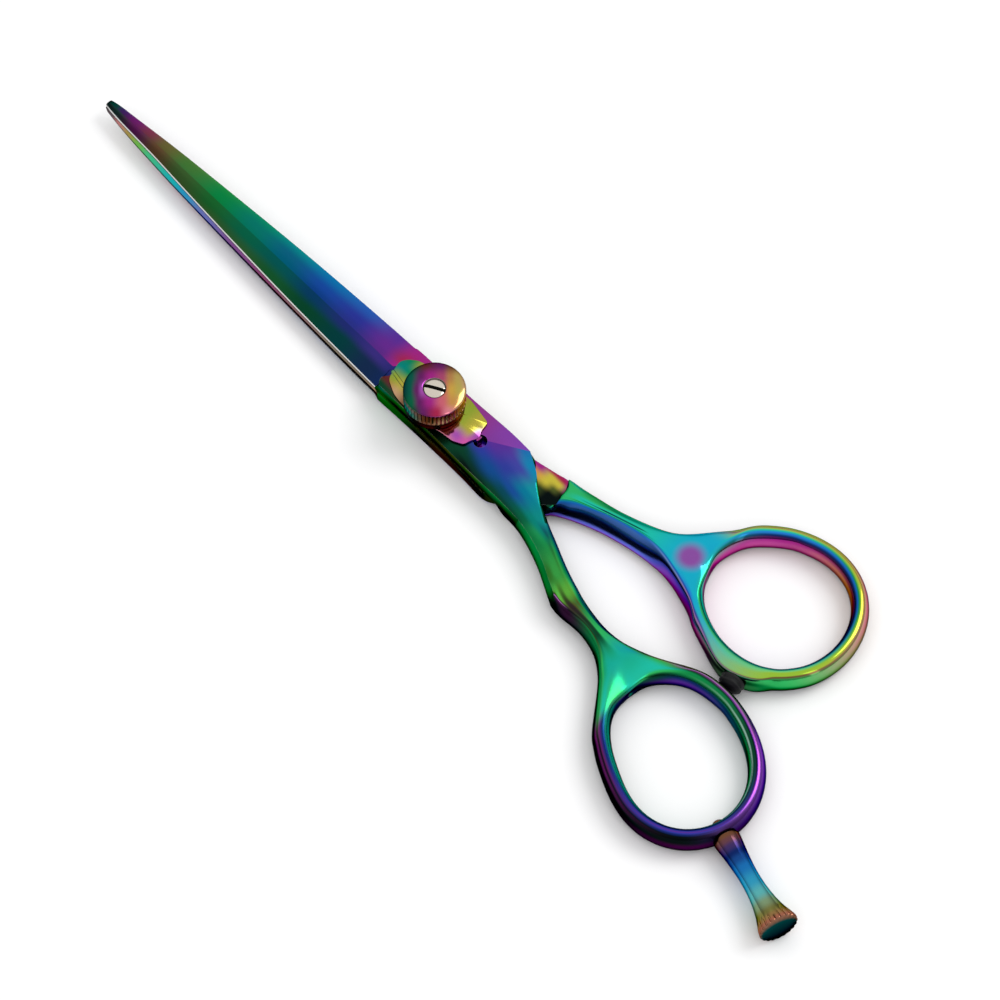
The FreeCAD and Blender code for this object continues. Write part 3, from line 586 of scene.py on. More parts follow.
def build_half(name, stations, ring, theta0, arms, crease_runs, crease_loops, mats, mat_of, levels=3):
    """Blade, pivot plate and handle as one tube of twelve-point sections that splits in two round the ring's hole."""
    c = Cage()
    loops = [c.loop(s) for s in stations[:-1]]
    last = list(stations[-1])
    # the last section's middle lies on the near wall of the ring's hole
    a, b = A_RING, B_RING
    for k, off, z in ((T2, -.70 * a, .71), (B2, -.70 * a, -.71)):
        p = ring_point(ring, theta0, off)
        last[k] = (p[0], p[1], Z_RING + z * b)
    J = c.loop(last)
    p = ring_point(ring, theta0, -a)
    CW = c.add((p[0], p[1], Z_RING))
    loops.append(J)
    for i in range(len(loops) - 1):
        for k in range(12):
            l = (k + 1) % 12
            c.face((loops[i][k], loops[i][l], loops[i + 1][l], loops[i + 1][k]), mat_of(i, k))
    # tip
    f = loops[0]
    c.face((f[T1], f[T2], f[B2], f[B1]), mat_of(0, T1))
    c.face((f[T2], f[T3], f[B3], f[B2]), mat_of(0, T1))
    c.face((f[T0], f[T1], f[B1], f[B0], f[RW]), mat_of(0, T1))
    c.face((f[T3], f[T4], f[LW], f[B4], f[B3]), mat_of(0, T1))
    # ring: from the -Y arm of the last section round to the +Y arm
    right = [J[T0], J[T1], J[T2], CW, J[B2], J[B1], J[B0], J[RW]]
    left = [J[T4], J[T3], J[T2], CW, J[B2], J[B3], J[B4], J[LW]]
    chain = [right] + [c.loop(ring_loop(ring, *arm)) for arm in arms] + [left]
    for i in range(len(chain) - 1):
        for k in range(8):
            l = (k + 1) % 8
            c.face((chain[i][k], chain[i][l], chain[i + 1][l], chain[i + 1][k]), mat_of("ring", k, i))
    for k, i0, i1 in crease_runs:
        c.crease(*[loops[i][k] for i in range(i0, i1 + 1)])
    for i, k0, k1 in crease_loops:
        ks = list(range(k0, k1 + 1)) if k1 >= k0 else list(range(k0, 12)) + list(range(0, k1 + 1))
        c.crease(*[loops[i][k] for k in ks])
    return c.build(name, mats, levels)


# =============================================================== coatings of the two halves
m_upper = coated_place("coat_blade_upper", (0, 1, 0), (1, 0, 0), [
    (-4.4, [(-5, "violet"), (3, "magenta"), (9, "magenta"), (13, "violet"), (20, (0.020, 0.100, 0.42)), (28, (0.004, 0.170, 0.40)), (36, (0.003, 0.270, 0.260)), (44, (0.004, 0.270, 0.120)),
            (52, (0.02, 0.275, 0.055)), (60, (0.13, 0.230, 0.055)), (65, (0.22, 0.17, 0.06)), (69, (0.30, 0.08, 0.13)), (72.5, (0.20, 0.03, 0.20)), (75, (0.08, 0.03, 0.20)), (76.6, (0.008, 0.05, 0.045)), (79, "black")]),
    (-1.8, [(-5, "violet"), (4, "magenta"), (9, "crimson"), (13, (0.127, 0.024, 0.253)), (20, (0.024, 0.033, 0.286)), (28, (0.009, 0.060, 0.319)), (36, (0.004, 0.110, 0.200)), (44, (0.003, 0.170, 0.130)),
            (52, (0.004, 0.215, 0.053)), (60, (0.052, 0.172, 0.034)), (65, (0.13, 0.115, 0.034)), (68.5, (0.20, 0.035, 0.075)), (72, (0.155, 0.016, 0.150)), (74.6, (0.050, 0.020, 0.130)), (76.3, (0.003, 0.050, 0.040)), (79, "black")]),
    (-0.2, [(-5, "violet"), (4, "magenta"), (9, "magenta"), (13, (0.10, 0.023, 0.22)), (20, (0.022, 0.030, 0.226)), (28, (0.005, 0.045, 0.220)), (36, (0.001, 0.100, 0.170)), (44, (0.002, 0.160, 0.105)),
            (52, (0.003, 0.190, 0.045)), (60, (0.040, 0.150, 0.036)), (65, (0.10, 0.090, 0.026)), (68.5, (0.13, 0.030, 0.045)), (72, (0.110, 0.010, 0.095)), (74.6, (0.040, 0.012, 0.080)), (76.3, (0.002, 0.048, 0.034)), (79, "black")])], -5, 80)
m_lower = coated_place("coat_blade_lower", (0, 1, 0), (1, 0, 0), [
    (0.6, [(6, "navy"), (13, (0.04, 0.026, 0.19)), (20, (0.015, 0.024, 0.150)), (28, (0.003, 0.040, 0.110)), (36, (0.002, 0.085, 0.080)), (44, (0.003, 0.110, 0.055)), (52, (0.010, 0.115, 0.024)),
           (60, (0.040, 0.095, 0.024)), (66, (0.11, 0.056, 0.026)), (71, (0.10, 0.012, 0.085)), (75.5, (0.012, 0.037, 0.033)), (79, "black")]),
    (2.2, [(6, "navy"), (13, (0.008, 0.023, 0.070)), (20, (0.002, 0.044, 0.045)), (28, (0.003, 0.055, 0.023)), (36, (0.008, 0.088, 0.024)), (44, (0.026, 0.100, 0.026)), (52, (0.040, 0.100, 0.024)),
           (60, (0.052, 0.066, 0.016)), (66, (0.085, 0.030, 0.026)), (71, (0.075, 0.006, 0.055)), (75.5, (0.004, 0.031, 0.02)), (79, "black")])], 0, 80)
m_spine = coated("coat_spine", (1, 0, 0), [(5, "magenta"), (20, "blue"), (40, "teal"), (55, "green"), (66, "violet"), (79, "dgreen")], 0, 80)
m_bevel = steel("bare_edge", (0.80, 0.80, 0.78), 0.12, (120.0, 2600.0, 2600.0))
# Side walls: lighter in the top row (z 4.6), a painted highlight along the wall's top edge, and darkest in the row at z
# 3.0.
m_wall = coated_place("wall_film_and_painted_highlight", (0, 0, 1), (1, 0, 0), [
    (1.0, [(-26, "black"), (-18, "dolive"), (-12, "brown"), (-6, (0.14, 0.09, 0.05)), (0, "olive"), (5, "green"), (9, "green")]),
    (2.4, [(-26, "dgreen"), (-18, "dolive"), (-12, "olive"), (-6, (0.16, 0.12, 0.05)), (0, (0.12, 0.14, 0.04)), (4, "green"), (9, "bgreen")]),
    (3.0, [(-26, "dgreen"), (-18, "dgreen"), (-12, "dolive"), (-6, "dolive"), (0, "dolive"), (4, "dgreen"), (9, "green")]),
    (4.6, [(-26, "dgreen"), (-18, "green"), (-12, (0.08, 0.16, 0.04)), (-6, (0.14, 0.15, 0.05)), (0, (0.07, 0.16, 0.05)), (4, "green"), (9, "teal")])], -30, 12)
m_zone = coated_place("coat_pivot_plate", (0, 1, 0), (1, 0, 0), [
    (-5.0, [(-17, "bviolet"), (-12, (0.22, 0.05, 0.36)), (-6, (0.26, 0.04, 0.24)), (2, "magenta"), (9, "magenta")]),
    (-1.0, [(-17, "orchid"), (-11, (0.20, 0.045, 0.30)), (-6, "magenta"), (2, "violet"), (9, "crimson")]),
    (2.2, [(-17, "orchid"), (-11, "violet"), (-4, "navy"), (2, "plum"), (9, "maroon")]),
    (3.3, [(-17, "dgreen"), (-11, "dgreen"), (-4, "dgreen"), (2, "dolive"), (9, "dgreen")])], -20, 10)
HOLLOW = [
    (6.5, [(-4, "dgreen"), (0, "dgreen"), (2.4, "indigo"), (5, "violet"), (7.4, "violet"), (9, (0.02, 0.12, 0.40))]),
    (11, [(-1.6, "black"), (-0.8, (0.004, 0.03, 0.02)), (2.0, (0.008, 0.065, 0.25)), (4.5, (0.03, 0.045, 0.30)), (6.6, (0.05, 0.06, 0.34)), (8.3, (0.008, 0.22, 0.42))]),
    (15, [(-1.3, "black"), (0.0, "dgreen"), (1.6, (0.004, 0.06, 0.09)), (3.2, (0.010, 0.070, 0.28)), (5, (0.004, 0.18, 0.30)), (6.2, (0.008, 0.26, 0.32))]),
    (20, [(-0.5, "black"), (0.4, "dgreen"), (1.8, (0.004, 0.11, 0.05)), (3.2, (0.004, 0.20, 0.16)), (4.4, (0.006, 0.24, 0.22))]),
    (24, [(-0.2, "dgreen"), (1.2, (0.01, 0.20, 0.05)), (2.4, (0.02, 0.32, 0.10)), (3.4, "teal"), (3.9, "navy")])]
# Colours round the finger handle's section, picked by the way the surface faces; the lilac band where the ridge meets
# the step is a painted highlight.
HANDLE = [
    (20, [(-60, "black"), (0, "dgreen"), (35, "green"), (62, "dgreen"), (85, "green"), (110, "teal"), (135, "teal"), (155, "navy"), (190, "black")]),
    (28, [(-60, "black"), (0, "dgreen"), (22, "green"), (42, "dgreen"), (62, (0.004, 0.07, 0.025)), (84, (0.004, 0.075, 0.022)), (96, (0.005, 0.15, 0.045)), (110, "green"), (122, "teal"), (145, "teal"), (165, "navy"), (190, "black")]),
    (35, [(-60, "black"), (0, "dgreen"), (20, "green"), (40, "dgreen"), (60, "plum"), (72, "dolive"), (83, (0.022, 0.050, 0.012)), (92, (0.03, 0.16, 0.022)), (101, (0.035, 0.28, 0.05)), (112, "green"), (126, "teal"), (150, "navy"), (190, "black")]),
    (38.4, [(-60, "black"), (0, "black"), (25, "black"), (48, (0.05, 0.010, 0.055)), (62, "plum"), (70, "lilac_highlight"), (77, "plum"), (86, "dolive"), (98, (0.10, 0.36, 0.04)), (112, "bgreen"), (130, "teal"), (150, "navy"), (190, "black")]),
    (41, [(-60, "black"), (0, "black"), (40, (0.03, 0.006, 0.03)), (66, "black"), (84, (0.03, 0.02, 0.02)), (97, "olive"), (108, "green"), (132, "teal"), (150, "black"), (190, "black")]),
    (47, [(-60, "black"), (0, "black"), (25, "dgreen"), (50, "green"), (66, "dolive"), (80, "dgreen"), (96, "bgreen"), (110, "bgreen"), (125, "teal"), (140, "navy"), (190, "black")]),
    (52, [(-60, "black"), (0, "black"), (30, "dgreen"), (55, "green"), (74, "bgreen"), (80, (0.010, 0.36, 0.16)), (92, (0.010, 0.40, 0.30)), (102, (0.008, 0.34, 0.36)), (115, "bgreen"), (132, "teal"), (150, "navy"), (190, "black")]),
    (57, [(-60, "black"), (0, "black"), (40, "dgreen"), (62, "bgreen"), (84, "bteal"), (100, "bgreen"), (118, (0.18, 0.34, 0.05)), (132, "plum"), (150, "black"), (190, "black")])]
# Colours round the finger ring's section, picked by the way the surface faces: black on the outer walls and undersides
# is painted shade, the pale and lilac bands are painted highlights.
FINGER_SECTORS = [
    (317, [(-60, "black"), (0, "black"), (34, "black"), (52, "ygreen"), (66, "lilac_highlight"), (76, "plum"), (92, "dgreen"), (112, "green"), (140, "green"), (158, "navy"), (175, "violet"), (200, "navy"), (250, "black")]),
    (227, [(-60, "plum"), (-10, "plum"), (15, "violet"), (50, "bviolet"), (74, "orchid"), (84, "violet"), (92, "black"), (108, "dgreen"), (122, "dgreen"), (134, "pale_highlight"), (144, "green"), (160, "dgreen"), (178, "teal"), (250, "black")]),
    (137, [(-60, "black"), (-10, "plum"), (20, "black"), (50, "black"), (64, "navy"), (80, "indigo"), (92, "violet"), (108, "indigo"), (124, "navy"), (145, "teal"), (180, "teal"), (250, "black")]),
    (47, [(-60, "black"), (0, "black"), (25, "black"), (42, "plum"), (54, "black"), (68, "plum"), (80, (0.05, 0.020, 0.16)), (95, "navy"), (112, "navy"), (135, "bteal"), (165, "dgreen"), (250, "black")])]
HOLLOW_USE = (HOLLOW, (-0.734, 0.679, 0), (-0.239, -1.141, 0), -4, 9, 20.5, 26.0)
m_limb_f = coated_limb("finger_limb_film_and_painted_light", HANDLE, FINGER[0], FINGER_SECTORS, 15.8, 20.5, (352, 0.72, 0.93, 12.6, 13.8), hollow=HOLLOW_USE, rough=0.21)
m_under = coated("coat_under", (1, 0.3, 0), [(-90, "violet"), (-60, "green"), (-30, "blue"), (0, "violet"), (30, "teal"), (60, "magenta"), (80, "olive")], -95, 80)
m_inner = steel("ride_steel", (0.66, 0.66, 0.65), 0.14, (120.0, 2600.0, 2600.0))


# =============================================================== plain half, with the finger ring
XS = [78.0, 77.5, 76, 72, 66, 60, 52, 44, 36, 28, 20, 13, 9.8]
SPINE = [-1.00, -1.24, -1.46, -1.82, -2.34, -2.78, -3.27, -3.74, -4.17, -4.50, -4.76, -4.94, -5.00]
EDGE = [-0.06, 0.12, 0.32, 0.60, 0.88, 1.32, 1.88, 2.38, 2.86, 3.26, 3.56, 3.78, 3.88]
ZS = [3.02, 3.22, 3.38, 3.52, 3.70, 3.84, 4.00, 4.14, 4.26, 4.38, 4.50, 4.62, 4.70]
ZR = [3.10, 3.34, 3.54, 3.74, 3.98, 4.16, 4.36, 4.52, 4.63, 4.72, 4.78, 4.80, 4.78]
front = []
for x, s, e, zs, zr in zip(XS, SPINE, EDGE, ZS, ZR):
    w = e - s
    lip = min(0.15, 0.10 * w)
    front.append(station((x, s), (x, e), (zs, zs + 0.82 * (zr - zs), zr, zr - 0.16 * (zr - 2.9), 2.64 + 0.62 * lip + 0.12), 2.64, 0.5 * (2.64 + zs), 2.72,
                         ir=min(0.14, 0.06 * w), il=lip, tf=(0, .40, .56, .70, 1)))
heel = len(front)
front += [
    station((8.9, -5.03), (8.75, 3.96), 4.75, 2.64, 3.7, 3.7, il=0.06),
    station((3.0, -5.10), (3.5, 3.98), 4.75, 2.64, 3.7, 3.7, il=0.06),
    station((-4.5, -5.20), (1.2, 3.96), 4.75, 2.64, 3.7, 3.7, il=0.06),
    station((-11.5, -5.46), (0.0, 3.92), 4.75, 2.64, 3.7, 3.7, il=0.06),
    station((-16.5, -5.45), (-1.1, 3.88), 4.75, 2.64, 3.7, 3.7, ir=0.25, il=0.06),       # the facet's ridge
    station((-18.5, -4.42), (-6.0, 3.95), (4.46, 4.40, 4.42, 4.50, 4.62), 2.64, 3.5, 3.5, ir=0.25, il=0.10),
    station((-21.0, -2.45), (-12.0, 4.08), (4.12, 4.02, 4.02, 4.12, 4.34), 2.64, 3.3, 3.4, ir=0.30, il=0.20),
    station((-23.9, -0.66), (-18.2, 4.18), (3.92, 3.86, 3.90, 4.04, 4.26), 2.64, 3.2, 3.3, ir=0.4, il=0.32),
    station((-25.2, -0.05), (-20.0, 4.30), (3.86, 3.86, 3.94, 4.08, 4.26), (0.9, 0.5, 0.4, 0.5, 0.9), 3.0, 2.6, ir=0.5, il=0.4, br=0.3, bl=0.3),
    station((-27.4, 0.95), (-23.6, 4.66), (3.84, 3.92, 4.04, 4.18, 4.30), (0.8, 0.38, 0.28, 0.38, 0.8), 2.9, 2.3, ir=0.7, il=0.5, br=0.5, bl=0.5),
    station((-30.4, 2.20), (-27.8, 5.76), (3.84, 3.96, 4.10, 4.24, 4.34), (0.8, 0.36, 0.25, 0.36, 0.8), 2.8, 2.2, ir=0.75, il=0.65, br=0.7, bl=0.6),
    station((-33.4, 3.50), (-31.5, 7.18), (3.84, 4.00, 4.14, 4.26, 4.34), (0.8, 0.36, 0.25, 0.36, 0.8), 2.8, 2.2, ir=0.75, il=0.7, br=0.7, bl=0.6),
    station((-36.3, 4.62), (-34.9, 8.86), (3.84, 4.04, 4.18, 4.28, 4.32), (0.8, 0.36, 0.25, 0.36, 0.8), 2.8, 2.2, ir=0.75, il=0.7, br=0.7, bl=0.6),
    station((-38.7, 5.38), (-37.4, 10.08), (3.84, 4.06, 4.20, 4.26, 4.20), (0.8, 0.36, 0.25, 0.36, 0.8), 2.7, 2.2, ir=0.75, il=0.6, br=0.7, bl=0.6),
    station((-40.9, 6.02), (-39.9, 10.45), (3.84, 4.10, 4.22, 4.18, 3.92), (0.8, 0.36, 0.25, 0.36, 0.8), 2.6, 2.2, ir=0.75, il=0.7, br=0.7, bl=0.7),
    station((-44.0, 6.62), (-43.2, 10.24), (3.84, 4.14, 4.26, 4.16, 3.86), (0.8, 0.34, 0.22, 0.34, 0.8), 2.5, 2.2, ir=0.7, il=0.75, br=0.7, bl=0.7),
    station((-47.3, 6.90), (-46.1, 10.58), (3.86, 4.20, 4.32, 4.22, 3.90), (0.8, 0.32, 0.18, 0.32, 0.8), 2.4, 2.3, ir=0.7, il=0.75, br=0.7, bl=0.7),
    station((-50.7, 6.60), (-48.9, 11.55), (3.90, 4.28, 4.40, 4.30, 3.94), (0.8, 0.28, 0.12, 0.28, 0.8), 2.35, 2.35, ir=0.6, il=0.65, br=0.6, bl=0.65),
    station((-53.6, 5.80), (-51.5, 13.30), (3.96, 4.42, 4.46, 4.42, 3.98), (0.74, 0.2, 0.08, 0.2, 0.74), 2.35, 2.35, ir=0.5, il=0.5, br=0.5, bl=0.5),
    station((-56.7, 4.48), (-54.1, 15.95), (4.0, 4.64, 4.0, 4.64, 4.0), (0.7, 0.04, 0.7, 0.04, 0.7), 2.35, 2.35, ir=0.45, il=0.45, br=0.45, bl=0.45, tf=(0, .17, .5, .83, 1)),
]
nf = len(front)
RIDGE, CROSS, STEP = heel + 4, heel + 7, heel + 13
f_arms = [(336, 315), (319, 304), (302, 294)] + [(a, a) for a in range(281, 70, -14)] + [(54, 58), (42, 47), (28, 37), (11, 26)]


def front_mat(i, k, ring_i=0):
    if i == "ring":
        return 6
    if i < heel - 1:
        if k in (T0, T1):
            return 0
        if k in (T2, T3):
            return 1
        if k in (T4, LW):
            return 3
        if k in (B0, RW):
            return 2
        return 7
    if i < RIDGE:
        if k < 4:
            return 4 if i >= heel else (0 if k < 2 else 1)
        if k in (T4, LW, RW, B0):
            return 5
        return 7
    if i < CROSS + 2:
        if k < 4:
            return 6
        if k in (T4, LW, RW, B0):
            return 5
        return 7
    return 6


front_mats = [m_upper, m_lower, m_spine, m_bevel, m_zone, m_wall, m_limb_f, m_inner]
runs = [(B0, 0, CROSS), (B4, 0, CROSS), (T0, 0, CROSS - 1), (T4, 0, STEP)]
loops_ = [(RIDGE, T0, T4), (heel, T3, B4), (heel - 1, T3, B4), (CROSS, B4, B0), (STEP, T4, B4)]
plain_half = build_half("plain_half_forging", front, FINGER, 352, f_arms, runs, loops_, front_mats, front_mat)
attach(plain_half, "upper")
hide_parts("plain_half")

# =============================================================== toothed half, with the thumb ring
BX = [77.85, 77.3, 76, 72, 66, 60, 52, 44, 36, 28, 20, 13, 9.8]
BSPINE = [0.10, 0.42, 0.64, 1.12, 1.60, 2.02, 2.46, 2.86, 3.24, 3.56, 3.86, 4.06, 4.15]
BTIPS = [-0.70, -0.82, -0.92, -1.16, -1.62, -2.04, -2.55, -3.02, -3.45, -3.78, -4.05, -4.22, -4.30]
BZS = [2.30, 2.12, 1.98, 1.80, 1.62, 1.50, 1.38, 1.28, 1.20, 1.12, 1.06, 1.02, 1.00]
BZR = [2.22, 1.96, 1.76, 1.50, 1.24, 1.06, 0.88, 0.74, 0.64, 0.57, 0.52, 0.48, 0.46]
back = []
for x, s, e, zs, zr in zip(BX, BSPINE, BTIPS, BZS, BZR):
    back.append(station((x, e), (x, s), 2.56, (2.56 - 0.22, zr + 0.16 * (2.4 - zr), zr, zr + 0.82 * (zs - zr), zs), 2.50, 0.5 * (2.56 + zs),
                        bl=min(0.14, 0.06 * (s - e)), br=min(0.25, 0.1 * (s - e)), tf=(0, .30, .44, .60, 1)))
bheel = len(back)
back += [
    station((8.9, -4.75), (8.85, 4.17), 2.56, 0.45, 1.5, 1.5),
    station((2.0, -5.10), (2.0, 4.05), 2.56, 0.45, 1.5, 1.5),
    station((-6.0, -5.20), (-6.0, 4.06), 2.56, 0.45, 1.5, 1.5),
    station((-12.0, -5.34), (-11.8, 4.20), 2.56, 0.45, 1.5, 1.5),
    station((-16.6, -5.64), (-15.5, 4.34), 2.56, 0.45, 1.5, 1.5),
    station((-19.6, -6.20), (-17.6, 3.52), 2.56, 0.45, 1.5, 1.5),
    station((-21.6, -6.62), (-20.6, 1.66), 2.56, 0.42, 1.5, 1.5),
    with_top(station((-23.2, -6.94), (-24.3, -0.62), 2.56, (0.5, 0.4, 0.4, 0.4, 0.6), 1.8, 1.5),           # foot of the shoulder
             [(-23.30, -6.90, 2.56), (-24.05, -5.85, 2.56), (-24.55, -4.75, 2.56), (-24.72, -3.60, 2.56), (-24.85, -2.30, 2.56)]),
    with_top(station((-23.9, -7.05), (-25.4, -1.32), 4.0, (0.6, 0.35, 0.3, 0.35, 0.7), 2.6, 1.7, br=0.3, bl=0.3),
             [(-23.95, -6.60, 3.95), (-24.75, -5.55, 4.12), (-25.15, -4.55, 4.18), (-25.30, -3.60, 4.16), (-25.50, -2.55, 3.80)]),
    station((-26.2, -7.38), (-27.3, -2.45), (3.95, 4.2, 4.28, 4.22, 3.95), (0.7, 0.33, 0.25, 0.33, 0.8), 2.9, 1.6, ir=0.6, il=1.40, br=0.5, bl=0.5),
    station((-29.2, -7.92), (-28.9, -3.28), (3.95, 4.2, 4.30, 4.24, 4.0), (0.7, 0.33, 0.25, 0.33, 0.8), 3.0, 1.5, ir=0.6, il=1.5, br=0.6, bl=0.5),
    station((-32.6, -8.66), (-32.2, -4.58), (3.95, 4.2, 4.30, 4.24, 4.0), (0.7, 0.33, 0.25, 0.33, 0.8), 3.0, 1.5, ir=0.6, il=1.55, br=0.6, bl=0.5),
    station((-35.8, -9.64), (-35.4, -5.50), (3.95, 4.2, 4.30, 4.24, 4.0), (0.7, 0.33, 0.25, 0.33, 0.8), 3.0, 1.5, ir=0.6, il=1.6, br=0.6, bl=0.5),
    station((-38.9, -10.86), (-38.8, -6.24), (3.95, 4.22, 4.32, 4.26, 4.0), (0.7, 0.3, 0.2, 0.3, 0.8), 2.9, 1.5, ir=0.6, il=1.6, br=0.6, bl=0.5),
    station((-41.7, -12.40), (-42.6, -6.64), (3.95, 4.28, 4.38, 4.32, 4.0), (0.7, 0.26, 0.12, 0.26, 0.8), 2.7, 1.6, ir=0.55, il=1.4, br=0.5, bl=0.5),
    station((-43.9, -14.50), (-46.9, -6.36), (3.98, 4.42, 4.48, 4.42, 4.0), (0.7, 0.16, 0.06, 0.16, 0.75), 2.5, 1.9, ir=0.5, il=1.0, br=0.5, bl=0.5),
    station((-45.9, -17.20), (-52.2, -4.80), (4.0, 4.66, 4.0, 4.66, 4.0), (0.7, 0.04, 0.7, 0.04, 0.7), 2.35, 2.2, ir=0.45, il=0.7, br=0.45, bl=0.45, tf=(0, .15, .5, .85, 1)),
]
SH = bheel + 7
seat_n = np.array((math.cos(math.radians(105.2)), math.sin(math.radians(105.2))))
seat_at = np.array((-66.45, -1.50))


b_arms = [(3, -16), (347, 333), (331, 322)] + [(a, a) for a in range(308, 137, -14)]
b_arms += [(131, 132, 0.03, 0.25), (122, 123, 0.45, 0.9), (111, 111, 0.80, 1.0), (99, 99.5, 0.84, 1.0), (88, 89, 0.42, 0.8),
           (75, 79, 0.10, 0.4), (57, 68, 0.0, 0.1), (39, 58)]


def back_mat(i, k, ring_i=0):
    if i == "ring":
        return 7
    if i < bheel:
        if k == T3:
            return 2
        if k < 4:
            return 8
        if k in (T4, LW):
            return 2
        if k in (B0, RW):
            return 3
        return 1
    if i < SH:
        if k < 4:
            return 4
        if k in (T4, LW, RW, B0):
            return 5
        return 6
    return 7


# The comb's spine: lightest on its top face (row z 2.54), a painted highlight, and darkest on the wall just below (row
# z 2.3), painted shade under the upper blade's edge.
m_bstrip = coated_place("comb_spine_film_and_painted_light", (0, 0, 1), (1, 0, 0), [
    (1.2, [(6, "brown"), (13, (0.10, 0.060, 0.034)), (20, (0.12, 0.085, 0.055)), (28, (0.16, 0.075, 0.085)), (36, (0.16, 0.030, 0.095)), (44, (0.150, 0.060, 0.200)), (52, (0.085, 0.115, 0.36)),
           (57, (0.015, 0.24, 0.42)), (60, (0.006, 0.32, 0.34)), (66, (0.030, 0.36, 0.15)), (69, (0.10, 0.34, 0.05)), (71.5, (0.26, 0.20, 0.05)), (74, (0.36, 0.13, 0.12)), (76, (0.10, 0.07, 0.08)), (79, "black")]),
    (2.3, [(6, "brown"), (13, (0.055, 0.032, 0.020)), (20, (0.065, 0.046, 0.026)), (28, (0.130, 0.050, 0.058)), (36, (0.120, 0.018, 0.070)), (44, (0.125, 0.036, 0.165)), (52, (0.080, 0.085, 0.33)),
           (57, (0.010, 0.19, 0.38)), (60, (0.004, 0.28, 0.30)), (66, (0.022, 0.30, 0.12)), (69, (0.08, 0.30, 0.04)), (71.5, (0.24, 0.17, 0.045)), (74, (0.34, 0.11, 0.12)), (76, (0.08, 0.05, 0.06)), (79, "black")]),
    (2.54, [(6, "tan"), (13, (0.22, 0.17, 0.12)), (20, (0.22, 0.18, 0.13)), (28, (0.24, 0.13, 0.13)), (36, (0.22, 0.05, 0.13)), (44, (0.20, 0.070, 0.24)), (52, (0.13, 0.15, 0.42)),
            (57, (0.02, 0.28, 0.50)), (60, (0.01, 0.40, 0.42)), (66, (0.05, 0.46, 0.22)), (69, (0.14, 0.42, 0.07)), (71.5, (0.34, 0.26, 0.07)), (74, (0.46, 0.18, 0.17)), (76, (0.12, 0.09, 0.10)), (79, "black")])],
    4, 79, swirl=0.25)
m_bflat = coated("coat_comb_under", (1, 0, 0), [(6, "teal"), (24, "blue"), (40, "violet"), (58, "magenta"), (74, "olive")], 4, 79)
m_shelf = coated_place("coat_comb_shelf", (1, 0, 0), (0, 1, 0), [
    (-24.5, [(-7.2, "plum"), (-6.2, "magenta"), (-5.2, "plum"), (-4.4, "black"), (-3.6, "black")]),
    (-22.8, [(-7.2, "magenta"), (-6.4, "crimson"), (-5.4, "yellow"), (-4.2, "olive"), (-3.2, "black")]),
    (-21.0, [(-7.2, "magenta"), (-6.4, "crimson"), (-5.6, "yellow"), (-4.4, "yellow"), (-2.8, "dolive")]),
    (-18.5, [(-7.2, "violet"), (-6.4, "magenta"), (-5.6, "magenta"), (-4.4, "orange"), (-2.8, "yellow")])], -8, -2, swirl=0.5)
# Colours round the thumb handle's section, picked by the way the surface faces; the lilac band in the last row is a
# painted highlight.
BHANDLE = [
    (24.5, [(-60, "black"), (-10, "magenta"), (8, "violet"), (26, (0.08, 0.09, 0.52)), (42, "blue"), (60, "teal"), (82, "bgreen"), (100, "bgreen"), (125, "bteal"), (150, "green"), (190, "black")]),
    (29, [(-60, "plum"), (-25, "magenta"), (0, "magenta"), (10, "bviolet"), (19, (0.14, 0.12, 0.62)), (30, (0.10, 0.16, 0.66)), (38, (0.06, 0.20, 0.62)), (46, (0.012, 0.14, 0.50)), (56, (0.008, 0.18, 0.42)), (66, "teal"), (73, "teal"), (77.5, "black"), (81.5, "bteal"), (112, "bgreen"), (140, "green"), (165, "dgreen"), (190, "black")]),
    (38, [(-60, "plum"), (-25, "magenta"), (1, "magenta"), (12, "bviolet"), (21, (0.14, 0.12, 0.62)), (31, (0.10, 0.16, 0.66)), (38, (0.08, 0.22, 0.64)), (46, (0.012, 0.14, 0.54)), (57, (0.010, 0.18, 0.46)), (67, "teal"), (75, "teal"), (78, "dgreen"), (81.5, "bteal"), (110, "bteal"), (140, "green"), (165, "dgreen"), (190, "black")]),
    (46, [(-60, "plum"), (-25, "magenta"), (2, "magenta"), (16, "bviolet"), (28, "indigo"), (38, "navy"), (48, (0.16, 0.28, 0.56)), (60, "blue"), (74, "cyan"), (84, "cyan"), (110, "cyan"), (140, "teal"), (165, "dgreen"), (190, "black")]),
    (53, [(-60, "plum"), (-25, "magenta"), (4, "magenta"), (20, "violet"), (34, "navy"), (48, "lilac_highlight"), (56, "indigo"), (74, "bblue"), (90, "cyan"), (110, "cyan"), (130, "bteal"), (150, "pink"), (190, "magenta")])]
# Colours round the thumb ring's section per quarter, picked by the way the surface faces; the lilac band in the 47°
# sector is a painted highlight.
THUMB_SECTORS = [
    (317, [(-60, "black"), (0, "dolive"), (32, "olive"), (50, "ygreen"), (66, "tan"), (80, "ygreen"), (98, "bteal"), (116, "bblue"), (138, "navy"), (158, "magenta"), (185, "pinkm"), (205, "crimson"), (250, "black")]),
    (227, [(-60, "brown"), (0, "tan"), (26, "pink"), (44, "tan"), (62, "yellow"), (80, "ygreen"), (100, "green"), (116, "blue"), (134, "navy"), (152, "maroon"), (172, "orange"), (250, "black")]),
    (137, [(-60, "black"), (-20, "dgreen"), (10, "bgreen"), (34, "bgreen"), (48, "brown"), (58, "ygreen"), (84, "ygreen"), (104, "lgreen"), (124, "bteal"), (140, "navy"), (165, "violet"), (250, "black")]),
    (47, [(-60, "plum"), (-10, "magenta"), (14, "magenta"), (28, "navy"), (44, "lilac_highlight"), (54, "indigo"), (72, "cyan"), (94, "cyan"), (118, "bgreen"), (146, "bteal"), (172, "pinkm"), (250, "black")])]
